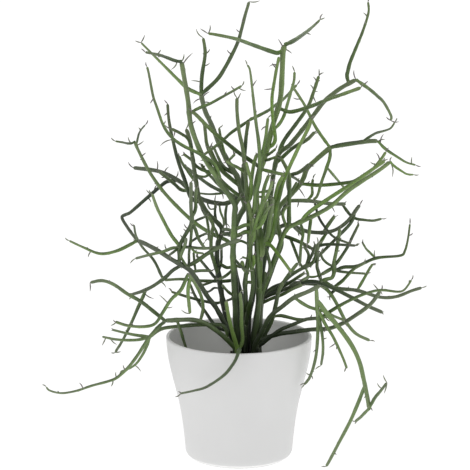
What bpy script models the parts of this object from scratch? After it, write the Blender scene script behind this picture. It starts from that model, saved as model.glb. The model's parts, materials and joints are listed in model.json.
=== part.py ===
"""A potted pencil cactus: a turned ceramic pot, the soil in it, and sixteen branching canes.

Metres, +Z up. The origin is the middle of the pot's underside. The plant is seen from the front, along +Y.
Every size below is in millimetres and is turned into metres where a mesh is made.
"""

import math
import random

import bmesh
import bpy
import numpy as np
from mathutils import Vector

MM = 0.001

# How finely the solids are made, and the gaps between them
POT_STEPS = 26
INNER_RINGS = 6
TOUCH_GAP = 0.3
HOLE_GAP = 0.5
HOLE_SIDES = 8
HOLE_ABOVE_SOIL = 12.0
BEND_TOLERANCE = 1.40
STEM_SIDES = 6
TWIG_SIDES = 5
TWIG_WIDTH = 4.2
LEAF_SIDES = 3
LEAF_WIDTH = 2.1
LEAF_THICKNESS = 1.2

# Driving dimensions of the pot
POT_HEIGHT = 126.0
POT_WALL = 3.3
POT_FLOOR = 5.0
FOOT_ROUNDING = 9.0
RIM_ROUNDING = 1.3
INNER_CORNER = 7.0
# Height above the underside and outer radius, from the rim down to where the foot starts to round
POT_OUTLINE = (
    (124.7, 73.4),
    (115.0, 72.9),
    (101.5, 71.1),
    (92.0, 69.1),
    (82.0, 66.7),
    (72.0, 64.2),
    (60.0, 61.3),
    (47.0, 58.8),
    (32.0, 56.7),
    (20.0, 55.3),
    (FOOT_ROUNDING, 54.3),
)

# Driving dimensions of the soil and of the canes' feet
SOIL_TOP = 90.0
SOIL_MOUND = 3.0
ROOT_DEPTH = 26.0
ROOT_SPREAD = 19.0

# The crown opens from the soil like a shuttlecock: a stem of lean 1 lies this far behind the pot's axis
CROWN_FOOT = (6.0, 102.0)
SPREAD_AT_FOOT = 19.0
SPREAD_SLOPE = 0.43

# The standpoint that the stems' points are seen from
VIEW_DISTANCE = 3000.0
VIEW_PITCH = math.radians(12.8)
VIEW_ACROSS = -4.0
VIEW_UP = 220.0

# The height that the table's heights are counted from
TABLE_BASE = -0.65

# How much wider stems are than the table's widths, which leave out their soft edges
STEM_FULLNESS = 1.16

# How stems are sampled, and how far they keep from each other
CURVE_POINTS = 12
SAMPLE_STEP = 4.0
STEM_CLEARANCE = 1.3
JOINT_REACH = 14.0
CLEARING_ROUNDS = 160

LEAF_SWAY = 3.0
LEAF_SEED = 11

# Each cane: name, place of its foot, lean, stems and leaves.
# A stem is its width at the foot and at the tip, its tip's lean, and its points as seen from the front,
# in millimetres across from the pot's axis and up from its underside. A point with a third number states
# its own depth behind the axis. The first stem rises from the soil, and each later one grows from the
# stem nearest to its first point. A leaf is the point where it grows and its tip.
CANES = (
    ("cane_front", 0, -0.95, (
        (4.2, 3.0, -0.95, (-1, 103), (-4, 115), (-7.5, 127), (-10.5, 140), (-13, 155)),
        (3.4, 3.0, -0.75, (2, 103), (3.5, 115), (2.5, 131), (2.5, 147), (1, 163)),
        (3.2, 1.8, 0, (-1, 104, -22), (0, 106, -42), (1, 106.7, -62), (0, 104.8, -75), (-2.5, 98, -82),
         (-6, 91.5, -84), (-15, 80.5, -84), (-32, 69, -82), (-45, 65, -79), (-59, 62, -74)),
    ), (
        (-10, 142, -15, 145), (1, 162, 5, 166),
    )),
    ("cane_hanging_right", 12, -0.8, (
        (4.4, 3.6, -0.8, (15, 108), (22, 122), (31, 139), (43, 149), (55, 158), (69, 164), (81, 170)),
        (3.6, 2.4, -0.8, (79, 169), (78, 152), (79, 130), (77, 100), (71, 79), (65, 71)),
        (3.2, 2.2, -1.0, (79, 144), (83, 122), (84, 105), (82, 90)),
        (3.2, 2.2, -0.6, (79, 147), (86, 132), (94, 119), (103, 100), (108, 87)),
        (4.4, 3.6, -0.9, (79, 158), (88, 142), (96, 133), (111, 113), (120, 95), (125, 75), (129, 55),
         (130, 47)),
        (3.2, 2.4, -1.1, (130, 48), (136, 58), (141, 64), (148, 73)),
        (3.2, 2.2, -0.5, (54, 157), (64, 152), (72, 148), (86, 144), (94, 140), (106, 135)),
        (3.2, 2.4, -0.8, (130, 48), (125, 42), (121, 38), (116, 34)),
        (3.5, 2.6, 0, (126, 71, -56), (122, 60, -62), (118, 50, -68), (111, 34, -76), (101, 15, -86),
         (91, -4, -93), (87, -11, -95)),
    ), (
        (72, 80, 74, 76), (71, 83, 67, 83), (82, 90, 76, 86), (86, 130, 85, 123), (84, 117, 88, 118),
        (97, 112, 90, 108), (148, 73, 144, 81), (142, 67, 138, 73), (147, 72, 145, 62), (87, -10, 82, -11),
    )),
    ("cane_low_left", -5.5, -0.65, (
        (4.4, 3.8, -0.65, (-2.5, 104), (-6.5, 110), (-14, 118), (-24, 126), (-34, 132.5), (-44, 135.5),
         (-54, 136), (-74, 135)),
        (3.6, 2.8, -0.8, (-73, 135), (-84, 143), (-98, 154), (-112, 162), (-125, 171), (-137, 175),
         (-149, 173)),
        (3.5, 1.6, -0.6, (-73, 135), (-84, 125), (-92, 115), (-101, 101), (-111, 88), (-122, 78),
         (-132, 74), (-147, 70), (-162, 65), (-177, 62.5), (-189, 65), (-193, 69)),
        (3.2, 2.4, -0.5, (-61, 135), (-59, 127), (-56, 117), (-52.5, 106)),
        (3.2, 2.6, -0.85, (-37, 134), (-36, 147), (-38, 160), (-44, 172), (-51, 182)),
        (3.3, 2.4, -0.75, (-50, 181), (-58, 166), (-68, 156), (-77, 142), (-84, 132), (-95, 129),
         (-111, 130), (-124, 134)),
        (3.4, 3.0, -0.4, (-12, 117), (-12, 124), (-17, 130.5), (-30, 131), (-47, 130.5), (-69, 128.5),
         (-79, 126), (-89, 119)),
        (3.0, 2.0, -0.2, (-88, 119), (-103, 120.5), (-115, 123), (-127, 126)),
        (3.0, 2.0, -0.7, (-88, 119), (-100, 116), (-113, 115.5), (-125, 116.5), (-137, 119)),
        (2.8, 1.8, -0.3, (-88, 119), (-92, 110), (-97, 100), (-105, 90), (-119, 83.5)),
        (3.4, 2.8, -0.95, (-50, 180), (-51, 165), (-50, 152), (-49, 142)),
    ), (
        (-148, 173, -149, 164), (-124, 78, -123, 84), (-127, 75, -128, 69), (-158, 67, -160, 73),
        (-73, 148, -66, 149), (-130, 117, -122, 111), (-134, 119, -137, 110), (-104, 91, -98, 84),
        (-113, 86, -116, 91), (-53, 143, -58, 146), (-193, 68, -197, 71), (-73, 153, -80, 161),
    )),
    ("cane_far_left", -11, -0.45, (
        (4.6, 3.8, -0.5, (-3.5, 106), (-6, 117), (-14, 131.5), (-23, 148), (-32, 160), (-44, 179),
         (-51, 187), (-67, 196), (-81, 205), (-94, 212), (-102, 215)),
        (3.4, 1.8, -0.75, (-101, 214), (-109, 211), (-123, 204.5), (-139, 202), (-155, 208), (-170, 215)),
        (3.6, 3.0, -0.7, (-62, 191), (-59.5, 198), (-60, 207), (-57, 215), (-53, 222), (-49, 229),
         (-47, 236), (-48, 247), (-48, 274)),
        (3.4, 2.6, -0.9, (-60, 207), (-62, 213), (-68, 221), (-76, 236), (-82, 248), (-87, 262)),
        (3.5, 2.8, -0.35, (-57, 192.5), (-66, 185.5), (-74, 178), (-87, 169), (-98, 164), (-108, 161)),
        (3.4, 2.2, -0.2, (-94, 166), (-101, 148), (-108, 132), (-116, 116), (-124, 103)),
        (2.8, 1.8, -0.1, (-74, 177), (-85, 195), (-97, 209), (-103, 220), (-105, 231)),
        (3.0, 2.2, -0.85, (-60, 209), (-67, 207.5), (-76, 204), (-89, 201), (-104, 197)),
        (3.0, 2.4, -0.3, (-48, 183), (-39, 185), (-27, 185)),
        (3.8, 3.2, -0.75, (-53, 188), (-44, 193.5), (-30, 203), (-15, 210.5), (1, 216)),
        (3.2, 3.0, -0.6, (-60, 197), (-57, 204), (-54, 211), (-53, 218)),
        (2.5, 2.2, -0.8, (-60, 208), (-65, 204), (-70, 200.5)),
        (2.6, 2.4, -0.5, (-59, 199), (-55.5, 194), (-52, 189.5)),
        (3.2, 2.6, -0.8, (-47, 234), (-43.5, 226), (-41, 218), (-37.5, 212), (-34, 207)),
        (2.8, 2.2, -0.4, (-47, 234), (-47.5, 226), (-48.5, 213), (-50, 203), (-50, 194), (-51, 189)),
        (2.4, 2.2, -0.3, (-45, 184), (-44.5, 192), (-45.5, 204)),
        (2.8, 2.4, -0.6, (-60, 208), (-50, 208.5), (-40, 207.5), (-30, 207.5), (-22, 209)),
        (2.2, 1.8, -0.55, (-50, 208.5), (-43.6, 203.5), (-35, 202.3)),
        (2.4, 2.2, -0.3, (-48.5, 214), (-43.5, 217), (-39, 219.5), (-32, 222.5)),
        (3.2, 2.8, -0.5, (-46, 238), (-43.5, 247), (-43.5, 258), (-42.5, 268)),
    ), (
        (-148, 205, -151, 198), (-104, 197, -109, 192), (-79, 215, -80, 209), (-73, 206, -74, 212),
        (-124, 103, -128, 103), (-123, 104, -118, 104), (-80, 173, -73, 168), (-170, 215, -174, 218),
        (-87, 261, -90, 266), (-48, 273, -45, 278), (-95, 162, -85, 157), (-51, 227, -55, 232),
        (-52, 224, -56, 227), (-56, 217, -59, 221), (-37, 211, -34, 213.5),
    )),
    ("cane_left", -2, -0.3, (
        (5.6, 4.0, -0.45, (-0.5, 104), (-1.5, 117), (-3, 131), (-3.5, 148), (-4.8, 170), (-5.7, 190),
         (-6, 204), (-5.5, 215), (-4.5, 240), (-4, 250), (-9.5, 260), (-17, 270), (-26, 284), (-33, 295),
         (-39, 305), (-48, 330), (-51, 355), (-56, 385), (-57.5, 394)),
        (3.4, 2.0, -0.8, (-57.5, 393), (-64, 395), (-72, 398), (-81, 401), (-94, 403.5)),
        (3.0, 2.0, -0.1, (-49, 343), (-39, 348), (-29, 352), (-19, 357.5), (-9, 363), (3, 370)),
        (3.0, 2.4, -0.6, (-5, 186), (-13, 180), (-21, 176)),
        (3.0, 2.2, -0.6, (-4, 158), (-11, 164), (-17, 171)),
        (3.4, 2.0, -0.7, (-16, 270), (-24, 290), (-38, 301), (-56, 310), (-68, 319), (-76, 331), (-82, 348),
         (-86, 360), (-90, 381), (-92, 389)),
        (2.6, 2.2, -0.6, (-4.5, 198), (0, 191.5), (5, 187.3), (11, 184)),
        (4.0, 3.6, -0.2, (-4, 219), (-9, 221.5), (-17, 221.5)),
        (3.2, 2.8, -0.1, (-4, 224), (-10, 226), (-17, 226)),
        (3.6, 3.2, -0.2, (-4, 246), (-2, 253), (2, 259)),
    ), (
        (-57, 394, -55, 402), (-55, 390, -46, 403), (-60, 393, -68, 386), (-94, 403, -98, 407),
        (-80, 400, -78, 406), (-5, 365, -8, 370), (3, 370, 5, 375), (1, 368, 7, 365), (-86, 356, -89, 352),
        (-92, 388, -93, 394), (-48, 332, -43, 335),
    )),
    ("cane_low_right", 17.5, -0.25, (
        (4.2, 3.4, -0.25, (18, 105), (18, 112), (24, 116.5), (39, 121.5), (53, 123.5), (71, 126), (89, 127),
         (103, 132), (116, 140), (131, 151), (141, 164)),
        (3.4, 3.0, -0.5, (19, 108), (29, 116.5), (39, 124.5), (46, 128), (56, 132), (68, 136.5), (81, 137.5)),
        (3.4, 1.7, -0.6, (80, 137.5), (94, 146), (109, 154.5), (125, 161.5), (141, 165.5), (161, 164),
         (168, 169), (172.5, 176)),
    ), (
        (141, 165, 134, 172), (144, 165, 143, 171), (172, 175, 174, 181), (104, 133, 108, 129),
    )),
    ("cane_centre", 5, -0.15, (
        (4.6, 3.0, -0.2, (5.5, 108), (6.3, 135), (6.5, 160), (6, 172), (8, 188), (10, 202), (10, 215),
         (9.3, 242), (8, 260), (7, 275), (4, 305), (0, 325), (-2, 345), (-2, 358)),
        (4.0, 3.6, -0.3, (6, 130), (10, 148), (14, 168), (13.5, 182), (11.5, 200), (12, 216), (13, 230),
         (12, 241), (9, 254)),
        (4.4, 1.8, -0.35, (12, 238), (15.5, 248), (17, 262), (21, 282), (20, 310), (17, 333), (14, 360),
         (11, 385), (8, 391)),
        (3.4, 3.0, -0.05, (5, 294), (6.3, 308), (7.2, 320), (9.5, 335)),
        (3.0, 2.4, 0.1, (10, 334), (1, 329), (-5, 325), (-9, 322), (-15, 316.5), (-26, 307.5), (-35, 301)),
        (3.0, 2.4, 0.65, (10, 334), (29, 345), (37, 351), (44, 356), (58, 371)),
        (3.4, 2.6, -0.1, (22, 292), (26, 314), (28, 330), (29, 338)),
        (3.4, 2.6, -0.4, (9, 252), (12, 260), (12.5, 268), (12, 275), (9, 286), (7, 294)),
        (3.0, 2.4, -0.4, (7, 284), (-1, 288), (-7, 291), (-13, 295)),
        (3.2, 2.8, -0.6, (12, 220), (17, 233), (21, 243), (25, 253), (30, 264), (33.5, 275)),
        (2.8, 2.4, -0.6, (15, 229), (20, 232), (25, 240), (31, 250)),
        (1.8, 1.6, -0.1, (12, 199), (7, 197.5), (3, 199)),
        (3.6, 3.0, -0.1, (12, 232), (6, 230.5), (-2, 227), (-8, 225)),
        (4.0, 3.6, 0.0, (12, 223.5), (7, 224), (1, 221), (-6, 218.5)),
        (3.4, 3.0, -0.3, (21, 243), (23.5, 254), (24.5, 264), (26.5, 272), (30, 281)),
        (3.6, 3.0, 0.0, (9, 256), (11.5, 268), (13, 280), (15, 292), (18, 302)),
        (3.2, 3.0, 0.1, (7, 258), (4, 268), (3.5, 280), (4, 290)),
        (3.0, 2.6, -0.5, (20, 234), (24, 245), (27, 256)),
        (4.0, 3.4, -0.2, (6, 182), (4, 188), (3, 195)),
        (3.4, 3.2, -0.3, (12, 210), (15, 217), (15, 226), (14.5, 238)),
        (3.6, 3.2, -0.45, (14, 226), (21, 230), (25, 237), (27.5, 246), (27.5, 255)),
        (3.4, 3.2, -0.2, (6, 173), (9.5, 173.5), (13, 173)),
        (3.0, 2.8, -0.3, (13, 186), (14.7, 192), (14.7, 201)),
    ), (
        (-2, 357, -5, 366), (-2, 356, 2, 363), (14, 370, 18, 376), (19, 354, 18, 343), (26, 331, 22, 325),
        (58, 370, 61, 376), (8, 390, 6, 396), (29, 337, 33, 342),
    )),
    ("cane_top", 12, -0.05, (
        (5.2, 4.6, 0.15, (15, 104), (14.5, 117), (17, 131), (19, 148), (20, 165), (21, 215), (18.5, 245),
         (17, 265), (19, 280), (23, 291), (28, 307), (34, 331), (41, 355), (43, 380), (44, 403), (46, 411)),
        (4.2, 2.4, -0.6, (45, 406), (40, 403), (33, 404), (13, 411), (-4, 417), (-26, 421.5), (-31, 422)),
        (4.5, 1.8, -0.5, (46, 410), (53, 414), (61, 419), (69, 425), (76, 431), (81, 436)),
        (3.6, 3.0, -0.6, (40, 346), (49, 344), (56, 344.5), (71, 349), (91, 357), (101, 360.5), (122, 368)),
        (3.4, 2.6, -0.3, (28, 307), (36, 315), (34, 335), (33, 357), (36, 378), (38, 389), (40, 399)),
        (3.8, 3.2, -0.5, (22, 286), (16, 292), (1, 302), (-9, 310), (-27, 325), (-42, 340), (-47, 344)),
        (3.6, 3.0, -0.3, (22, 286), (36, 283), (46, 281)),
        (3.2, 2.4, 0.6, (35, 326), (40.5, 332), (45, 340), (48, 350), (52, 364), (55, 375), (55.5, 384)),
        (3.2, 2.6, -0.5, (21, 216), (31, 211), (41, 199), (52, 184)),
        (4.0, 3.0, -0.5, (22, 208), (29.5, 213), (33.5, 221), (36, 235), (38, 250), (41, 262), (44, 273),
         (48, 283), (52, 292), (60, 309), (70, 329), (72, 337)),
        (4.0, 3.4, -0.2, (18, 165), (18.5, 190), (17.5, 205), (17.5, 225), (18, 240), (16, 256)),
        (2.8, 2.4, -0.1, (24, 293), (31, 296.5), (38, 299)),
        (2.6, 2.4, 0.0, (27, 299), (32, 303), (37, 307)),
        (2.6, 2.4, 0.2, (20, 265), (26, 264), (33, 266)),
        (2.6, 2.2, 0.25, (20, 260), (29, 258), (39, 257)),
        (3.4, 3.0, 0.0, (22, 211), (26.5, 206.5), (29, 199), (31, 190), (30, 182)),
        (3.4, 3.0, -0.3, (37, 238), (35.5, 250), (37, 262), (40, 273), (45, 281)),
        (3.4, 3.0, -0.1, (36, 250), (36.5, 258), (38.5, 266), (41.5, 274), (46, 281)),
        (4.2, 3.8, -0.2, (25, 207), (28.5, 221), (30.5, 234), (32.5, 247), (34, 258)),
        (4.6, 4.0, -0.55, (21, 231), (22, 222), (23, 212), (23.7, 204), (22, 198)),
        (4.0, 3.6, 0.0, (20, 165), (25, 174), (26.5, 184)),
    ), (
        (-31, 422, -39, 427), (-29, 422, -29, 431), (81, 436, 84, 442), (81, 435, 86, 438),
        (65, 422, 72, 421), (45, 407, 39, 417), (46, 406, 53, 402), (38, 393, 30, 389), (36, 386, 33, 393),
        (33, 366, 25, 366), (56, 383, 53, 390), (122, 368, 125, 373), (72, 336, 76, 340),
        (-47, 344, -51, 347),
    )),
    ("cane_left_back", -9, 0.15, (
        (5.2, 3.4, 0.2, (-3.5, 104), (-6, 115), (-11.5, 131.5), (-15, 148), (-18, 165), (-22, 193),
         (-21, 212), (-17, 227), (-29, 240), (-39, 255), (-43, 275), (-46, 295), (-49, 315), (-53, 327)),
        (3.8, 2.6, 0.6, (-39, 252), (-48, 258), (-54, 275), (-61, 295), (-66.5, 317), (-70, 335),
         (-71.5, 352)),
        (3.0, 2.6, 0.0, (-46, 298), (-50, 315), (-58, 322), (-68, 327)),
        (3.0, 2.4, 0.5, (-43, 274), (-50, 283), (-57, 293), (-60, 300)),
        (3.0, 2.2, 0.0, (-17, 154), (-22, 152.5), (-30, 153.5), (-45, 157), (-57, 160.5), (-68, 164)),
        (3.2, 2.6, 0.25, (-22, 194), (-12, 188), (-4, 190), (3, 188)),
        (3.0, 2.2, 0.4, (-20, 176), (-25, 179), (-29, 184), (-33.5, 189.5), (-39, 196), (-43, 200.5)),
        (3.2, 2.4, 0.5, (-12, 124), (-22, 128.5), (-27, 134), (-33, 143), (-40, 153), (-45, 162), (-49, 172)),
        (3.4, 3.2, 0.0, (-21, 178), (-24.5, 192), (-27.5, 203), (-28, 214), (-27, 224), (-26, 231),
         (-31, 240)),
        (2.8, 2.2, 0.3, (-20, 230), (-23, 236), (-24, 243), (-23.5, 252)),
        (2.6, 2.4, 0.5, (-37, 251), (-33, 241), (-31.5, 233), (-30.4, 226), (-30, 215)),
        (2.6, 2.4, 0.5, (-20, 182), (-17.8, 194), (-17.6, 201), (-17.5, 210)),
        (2.2, 1.8, 0.5, (-18, 167), (-24, 168), (-28, 165.3), (-32, 164), (-37, 168.5)),
        (2.6, 2.2, 0.1, (-20, 177), (-25, 175), (-30, 172.8), (-37.5, 170)),
        (2.4, 2.2, 0.2, (-17, 153), (-12, 155), (-6, 157.5)),
        (3.0, 2.6, 0.1, (-19, 215), (-22, 222), (-25.5, 229)),
        (2.8, 2.4, 0.3, (-39, 254), (-37, 247), (-33, 239)),
    ), (
        (-72, 350, -75, 356), (-71, 345, -75, 340), (-64, 325, -65, 319), (-69, 326, -74, 331),
        (-69, 314, -79, 309.5), (-53, 326, -51, 333),
    )),
    ("cane_right_mid", 20, 0.22, (
        (4.6, 3.4, -0.1, (19, 106), (20.5, 118), (20.5, 130), (21, 145), (22.5, 160), (26.3, 172),
         (31, 184.5), (35.5, 197), (40, 209), (44, 220), (49, 228), (55, 231), (71, 238), (91, 249),
         (107, 263), (121, 273), (141, 286), (151, 294)),
        (4.2, 3.4, 0.0, (20, 112), (26, 122), (32.5, 135), (36.8, 151), (39.5, 164), (44, 174)),
        (2.6, 1.5, -0.2, (150, 293), (156, 289), (162, 285), (168, 281.5), (175, 281)),
        (3.8, 3.2, 0.12, (60, 233), (71, 244), (91, 258), (113, 272), (133, 286), (146, 295)),
        (4.2, 3.0, 0.3, (49, 228), (50, 240), (50, 256), (50, 280), (42, 298)),
        (3.0, 2.4, -0.1, (62, 234), (64, 222), (62, 210), (61, 192)),
        (3.4, 3.0, 0.0, (42, 170), (46.5, 176.5), (52, 184), (59, 193)),
        (3.4, 2.6, -0.4, (71, 238), (71, 230), (70, 222), (69, 212)),
        (3.2, 2.4, 0.1, (34, 140), (42, 140), (51, 138), (61, 136), (76, 137), (89, 139)),
        (3.0, 2.4, 0.0, (48, 227), (45.5, 234), (43.7, 240), (45, 245.5), (49, 250.5)),
    ), (
        (151, 293, 153, 278), (175, 281, 180, 281), (150, 293, 153, 299), (42, 297, 38, 302),
        (70, 239, 69, 246),
    )),
    ("cane_upper_right", 7, 0.38, (
        (4.8, 3.8, 0.4, (9, 112), (10, 140), (13, 155), (16, 177), (24, 215), (31, 255), (35, 285),
         (40, 302), (50, 310), (57, 318), (65, 328), (75, 341), (86, 355), (101, 367), (117, 376)),
        (3.8, 2.0, 0.8, (109.5, 372), (108, 379), (109, 385), (111, 393), (115, 403), (120, 415),
         (124, 425), (129.5, 443), (129, 454)),
        (3.5, 2.2, -0.2, (116, 375), (131, 366), (139, 359), (145, 353), (152, 340), (152, 335)),
        (3.8, 3.0, 0.75, (38, 300), (45, 315), (58, 333), (69, 349), (75, 365), (80, 380)),
        (3.5, 3.2, 0.1, (36, 292), (53, 307), (68, 316), (76, 324)),
    ), (
        (80, 379, 80, 387), (80, 378, 85, 383), (78, 374, 74, 379), (75, 366, 71, 371), (73, 360, 77, 353),
        (152, 336, 147, 339), (152, 335, 160, 334), (125, 370, 129, 375), (117, 375, 115, 386),
        (129, 453, 131, 458), (128, 439, 124, 443),
    )),
    ("cane_top_left", -2, 0.52, (
        (5.4, 4.2, 0.45, (0, 106), (-1.5, 120), (-2.5, 155), (-3.5, 172), (-5.5, 190), (-6, 204), (-5, 216),
         (-3, 231), (1.5, 241), (5.7, 249.5), (3, 259), (-1, 277), (-11, 294), (-19, 310), (-28, 332),
         (-34, 345), (-38, 361)),
        (3.8, 1.8, 0.9, (-38, 360), (-51, 367), (-61, 376), (-71, 386), (-86, 401), (-98, 413)),
        (3.9, 2.8, 0.3, (-38, 360), (-37, 380), (-34, 400), (-34.5, 410), (-36, 418)),
        (3.9, 2.8, 0.75, (-38, 360), (-22, 376), (-14, 388), (-7, 401), (-1, 414), (3, 428), (6, 440),
         (9, 450), (10, 454)),
        (3.8, 3.0, 0.8, (-2, 279), (-21, 292), (-27.5, 300), (-32, 311), (-33.5, 322), (-34.5, 332)),
        (2.6, 2.2, 0.2, (-13, 299), (-17, 312), (-20, 328)),
        (3.5, 2.8, 0.15, (3, 258), (-7, 265.5), (-14, 271.5), (-19, 277), (-26, 286.5), (-34, 295)),
        (3.0, 2.4, 0.2, (-24, 284), (-31, 284), (-38, 286.5), (-43, 290), (-48, 296), (-56, 302)),
        (2.4, 2.0, 0.2, (-26, 282), (-34, 279), (-42, 280)),
        (3.0, 2.4, 0.6, (-4, 279), (-12, 286), (-18, 293), (-22, 301), (-25, 308)),
        (2.6, 2.4, 0.3, (-11, 294), (-7.5, 298), (-4, 301.5)),
        (2.4, 2.0, 0.3, (-4, 211), (2, 214.8), (8, 212), (14, 211), (20, 211)),
        (4.2, 3.2, 0.5, (0, 268), (-8, 277), (-16, 284), (-22, 292), (-27, 302), (-30, 309)),
        (3.0, 2.6, 0.4, (-24, 283), (-31, 290), (-36, 299), (-40, 308)),
    ), (
        (-98, 413, -104, 415), (-97, 412, -94, 421), (-36, 417, -43, 427), (-37, 372, -48, 375),
        (-34, 389, -29, 393), (-33, 403, -29, 407), (10, 453, 21, 455), (1, 424, -3, 427),
        (-8, 401, -12, 406), (-35, 358, -29, 364), (-33, 354, -27, 352), (-38, 357, -46, 352),
        (-20, 327, -16, 331),
    )),
    ("cane_right_low", 14, 0.62, (
        (4.4, 2.8, 0.6, (17.5, 109), (19, 127), (21, 152), (30, 165), (46, 172), (71, 172), (86, 170),
         (101, 167), (119, 165), (141, 158.5), (157, 159), (173, 165), (183, 168)),
        (3.6, 3.2, 0.75, (80, 172), (86, 176), (93, 178), (95, 184), (95, 193), (98, 208), (101, 227)),
        (3.5, 1.7, 0.45, (95, 185), (105, 188.5), (118, 189.5), (137, 197.5), (161, 200), (166, 205),
         (169, 217), (171, 232)),
        (2.5, 1.8, 0.9, (136, 197), (131, 203), (127, 207), (123, 214)),
        (2.6, 2.0, 0.75, (96, 186), (111, 183), (127, 182)),
        (3.0, 2.4, 0.85, (118, 165), (125, 177), (130, 186), (134, 192)),
        (3.4, 2.6, 0.3, (96, 168), (103, 174.5), (110, 182), (116, 187.5), (126, 193)),
        (3.8, 3.2, 0.3, (60, 173), (75, 174), (89, 170), (111, 159), (128, 150), (144, 143)),
        (3.4, 2.8, 0.4, (80, 171), (88, 166), (96, 155), (107, 134), (117, 122), (131, 115)),
        (3.6, 3.0, 0.4, (28, 161), (35.5, 165), (41, 170), (47, 176), (55, 182.5), (77, 195)),
        (3.2, 2.4, 0.85, (96, 190), (102, 198.5), (109, 209.5), (113, 218), (120, 232)),
        (3.0, 2.6, 0.3, (67, 189), (69.5, 197), (69, 203), (65, 209)),
        (3.2, 2.6, 0.2, (67, 188), (72, 191), (76, 198), (78, 206), (79, 213)),
        (3.0, 2.6, 0.5, (68, 189), (71, 197), (75, 206), (76.5, 212)),
        (2.6, 2.4, 0.3, (67, 188), (68.5, 183), (69, 179), (62, 175)),
        (3.4, 2.8, 0.35, (82, 172), (80, 182), (78, 189), (78.5, 197), (79, 205)),
        (3.8, 3.0, 0.4, (95, 189), (89, 185), (82, 181)),
        (2.6, 2.2, 0.6, (94, 189), (88, 192.5), (83, 198), (82, 204)),
        (2.2, 2.0, 0.6, (80, 179), (75, 178.7), (69, 179)),
        (2.6, 2.2, 0.5, (84, 175), (91, 171), (96, 168)),
        (3.0, 2.6, 0.7, (97, 167), (93, 163), (91, 159)),
        (3.2, 2.8, 0.1, (36, 165), (42, 168), (48, 171.5), (56, 176.5), (66, 183)),
        (3.2, 2.8, 0.0, (21, 152), (30, 156), (38, 159), (46, 162.5), (54, 167), (64, 171)),
        (3.6, 3.0, 0.05, (22, 154), (29, 160), (36, 162.5), (45, 166), (53, 169.5), (62, 173.5)),
    ), (
        (171, 221, 174, 223), (136, 197, 136, 206), (125, 209, 124, 217), (171, 231, 171, 238),
        (183, 168, 188, 170), (127, 182, 132, 183), (131, 115, 136, 114), (101, 226, 103, 232),
    )),
    ("cane_right", 21, 0.78, (
        (4.8, 4.4, 0.75, (20, 110), (21, 130), (22, 150), (25, 164), (29, 175.5), (33, 187), (37.3, 198),
         (41.8, 210), (41.5, 219), (38.5, 230), (38, 241), (41, 249.5), (46.5, 255.5), (53, 262.5),
         (59.5, 269.5), (64.5, 277.5), (68, 287), (76, 295), (84, 302), (91, 308)),
        (4.4, 3.8, 0.85, (90, 307), (99, 310), (115, 312.5), (131, 314.5), (139, 314.5)),
        (3.0, 1.5, 0.4, (124, 314), (131, 319), (137, 322.5), (151, 327), (156, 334)),
        (3.2, 1.7, 0.95, (138, 314), (143, 310), (148, 305.5), (161, 297), (168, 293), (177, 290.5)),
        (3.2, 2.4, 0.95, (90, 307), (77, 328), (67, 348), (61, 358), (55, 367)),
        (3.4, 2.4, 0.5, (92, 308), (91, 299), (88, 289), (82, 272), (79.5, 263), (77.5, 258.5), (74, 256)),
        (2.6, 2.0, 0.9, (88, 288), (94, 281), (100, 274), (106, 267)),
        (3.5, 2.6, 0.35, (60, 271), (66, 271.5), (83, 270.5), (111, 273.5), (121, 278), (132, 285),
         (141, 295), (147, 304)),
        (3.6, 3.4, 0.6, (50, 262), (49, 272), (51, 280), (58, 282.5), (64, 286), (71, 292)),
        (2.6, 2.2, 0.4, (51, 280), (56, 277.5), (61, 273.5)),
        (2.6, 2.4, 0.7, (46, 255), (51.5, 263), (55, 268.5), (58, 274)),
    ), (
        (172, 293, 173, 299), (141, 313, 145, 322), (140, 314, 146, 316), (156, 333, 158, 338),
        (55, 366, 52, 372), (61, 358, 54, 358), (140, 295, 137, 303), (138, 291, 131, 294),
        (177, 290, 182, 289), (147, 303, 150, 308), (106, 267, 110, 265), (57, 268, 66, 258),
        (64, 273, 71, 275),
    )),
    ("cane_mid_left", 4, 0.85, (
        (4.8, 3.6, 0.85, (4, 114), (3, 152), (-2.5, 178), (-5.5, 196), (-5.5, 214), (-3, 230), (1.5, 242),
         (5.5, 250), (5, 258), (0, 259.5), (-8, 254), (-17, 252), (-33, 255), (-47, 263), (-59, 274),
         (-79, 284), (-106, 288)),
        (3.8, 2.8, 0.6, (-3, 206), (-12, 215), (-29, 223), (-48, 236), (-73, 261), (-89, 283), (-101, 306),
         (-104, 314)),
        (2.5, 1.6, 0.3, (-104, 313), (-109, 312), (-115, 313), (-124, 314.5)),
        (2.3, 1.4, 0.9, (-103, 312), (-100, 322), (-97, 327), (-93.5, 331)),
        (3.4, 2.8, 0.6, (-49, 264), (-58, 266), (-65, 272), (-81, 285)),
        (3.5, 2.8, 0.95, (-62, 275), (-72, 274), (-80, 268), (-94, 256), (-109, 243), (-117, 239),
         (-112, 229), (-102, 215)),
        (3.0, 2.2, 0.8, (-13.5, 251), (-13.5, 242), (-13, 230)),
        (3.4, 3.0, 0.95, (0, 259.5), (-10, 261.5), (-22, 266.5), (-30, 271), (-37, 276), (-46, 283),
         (-54, 289)),
        (3.2, 2.4, 0.7, (2, 178), (-15, 174.5), (-40, 175), (-58, 176.5), (-75, 175.5)),
        (3.0, 2.6, 0.3, (-6, 262), (-15, 266), (-21, 271.5), (-27, 278), (-33, 284), (-38, 292)),
        (2.6, 2.2, 0.7, (-44, 233), (-39.8, 236.5), (-32, 239.5)),
        (2.2, 1.6, 0.9, (-14, 263), (-20, 262), (-30, 261.5), (-41, 262.5)),
        (1.6, 1.4, 0.6, (-33, 255), (-31, 250), (-28.5, 246.5), (-24, 247)),
        (2.2, 1.8, 0.7, (-19, 251), (-18.3, 243), (-15.8, 237), (-15, 229)),
    ), (
        (-106, 313, -111, 319), (-102, 310, -95, 315), (-98, 300, -93, 303), (-106, 288, -111, 294),
        (-82, 284, -82, 295), (-76, 283, -70, 289), (-63, 276, -61, 285), (-92, 257, -88, 253),
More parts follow.
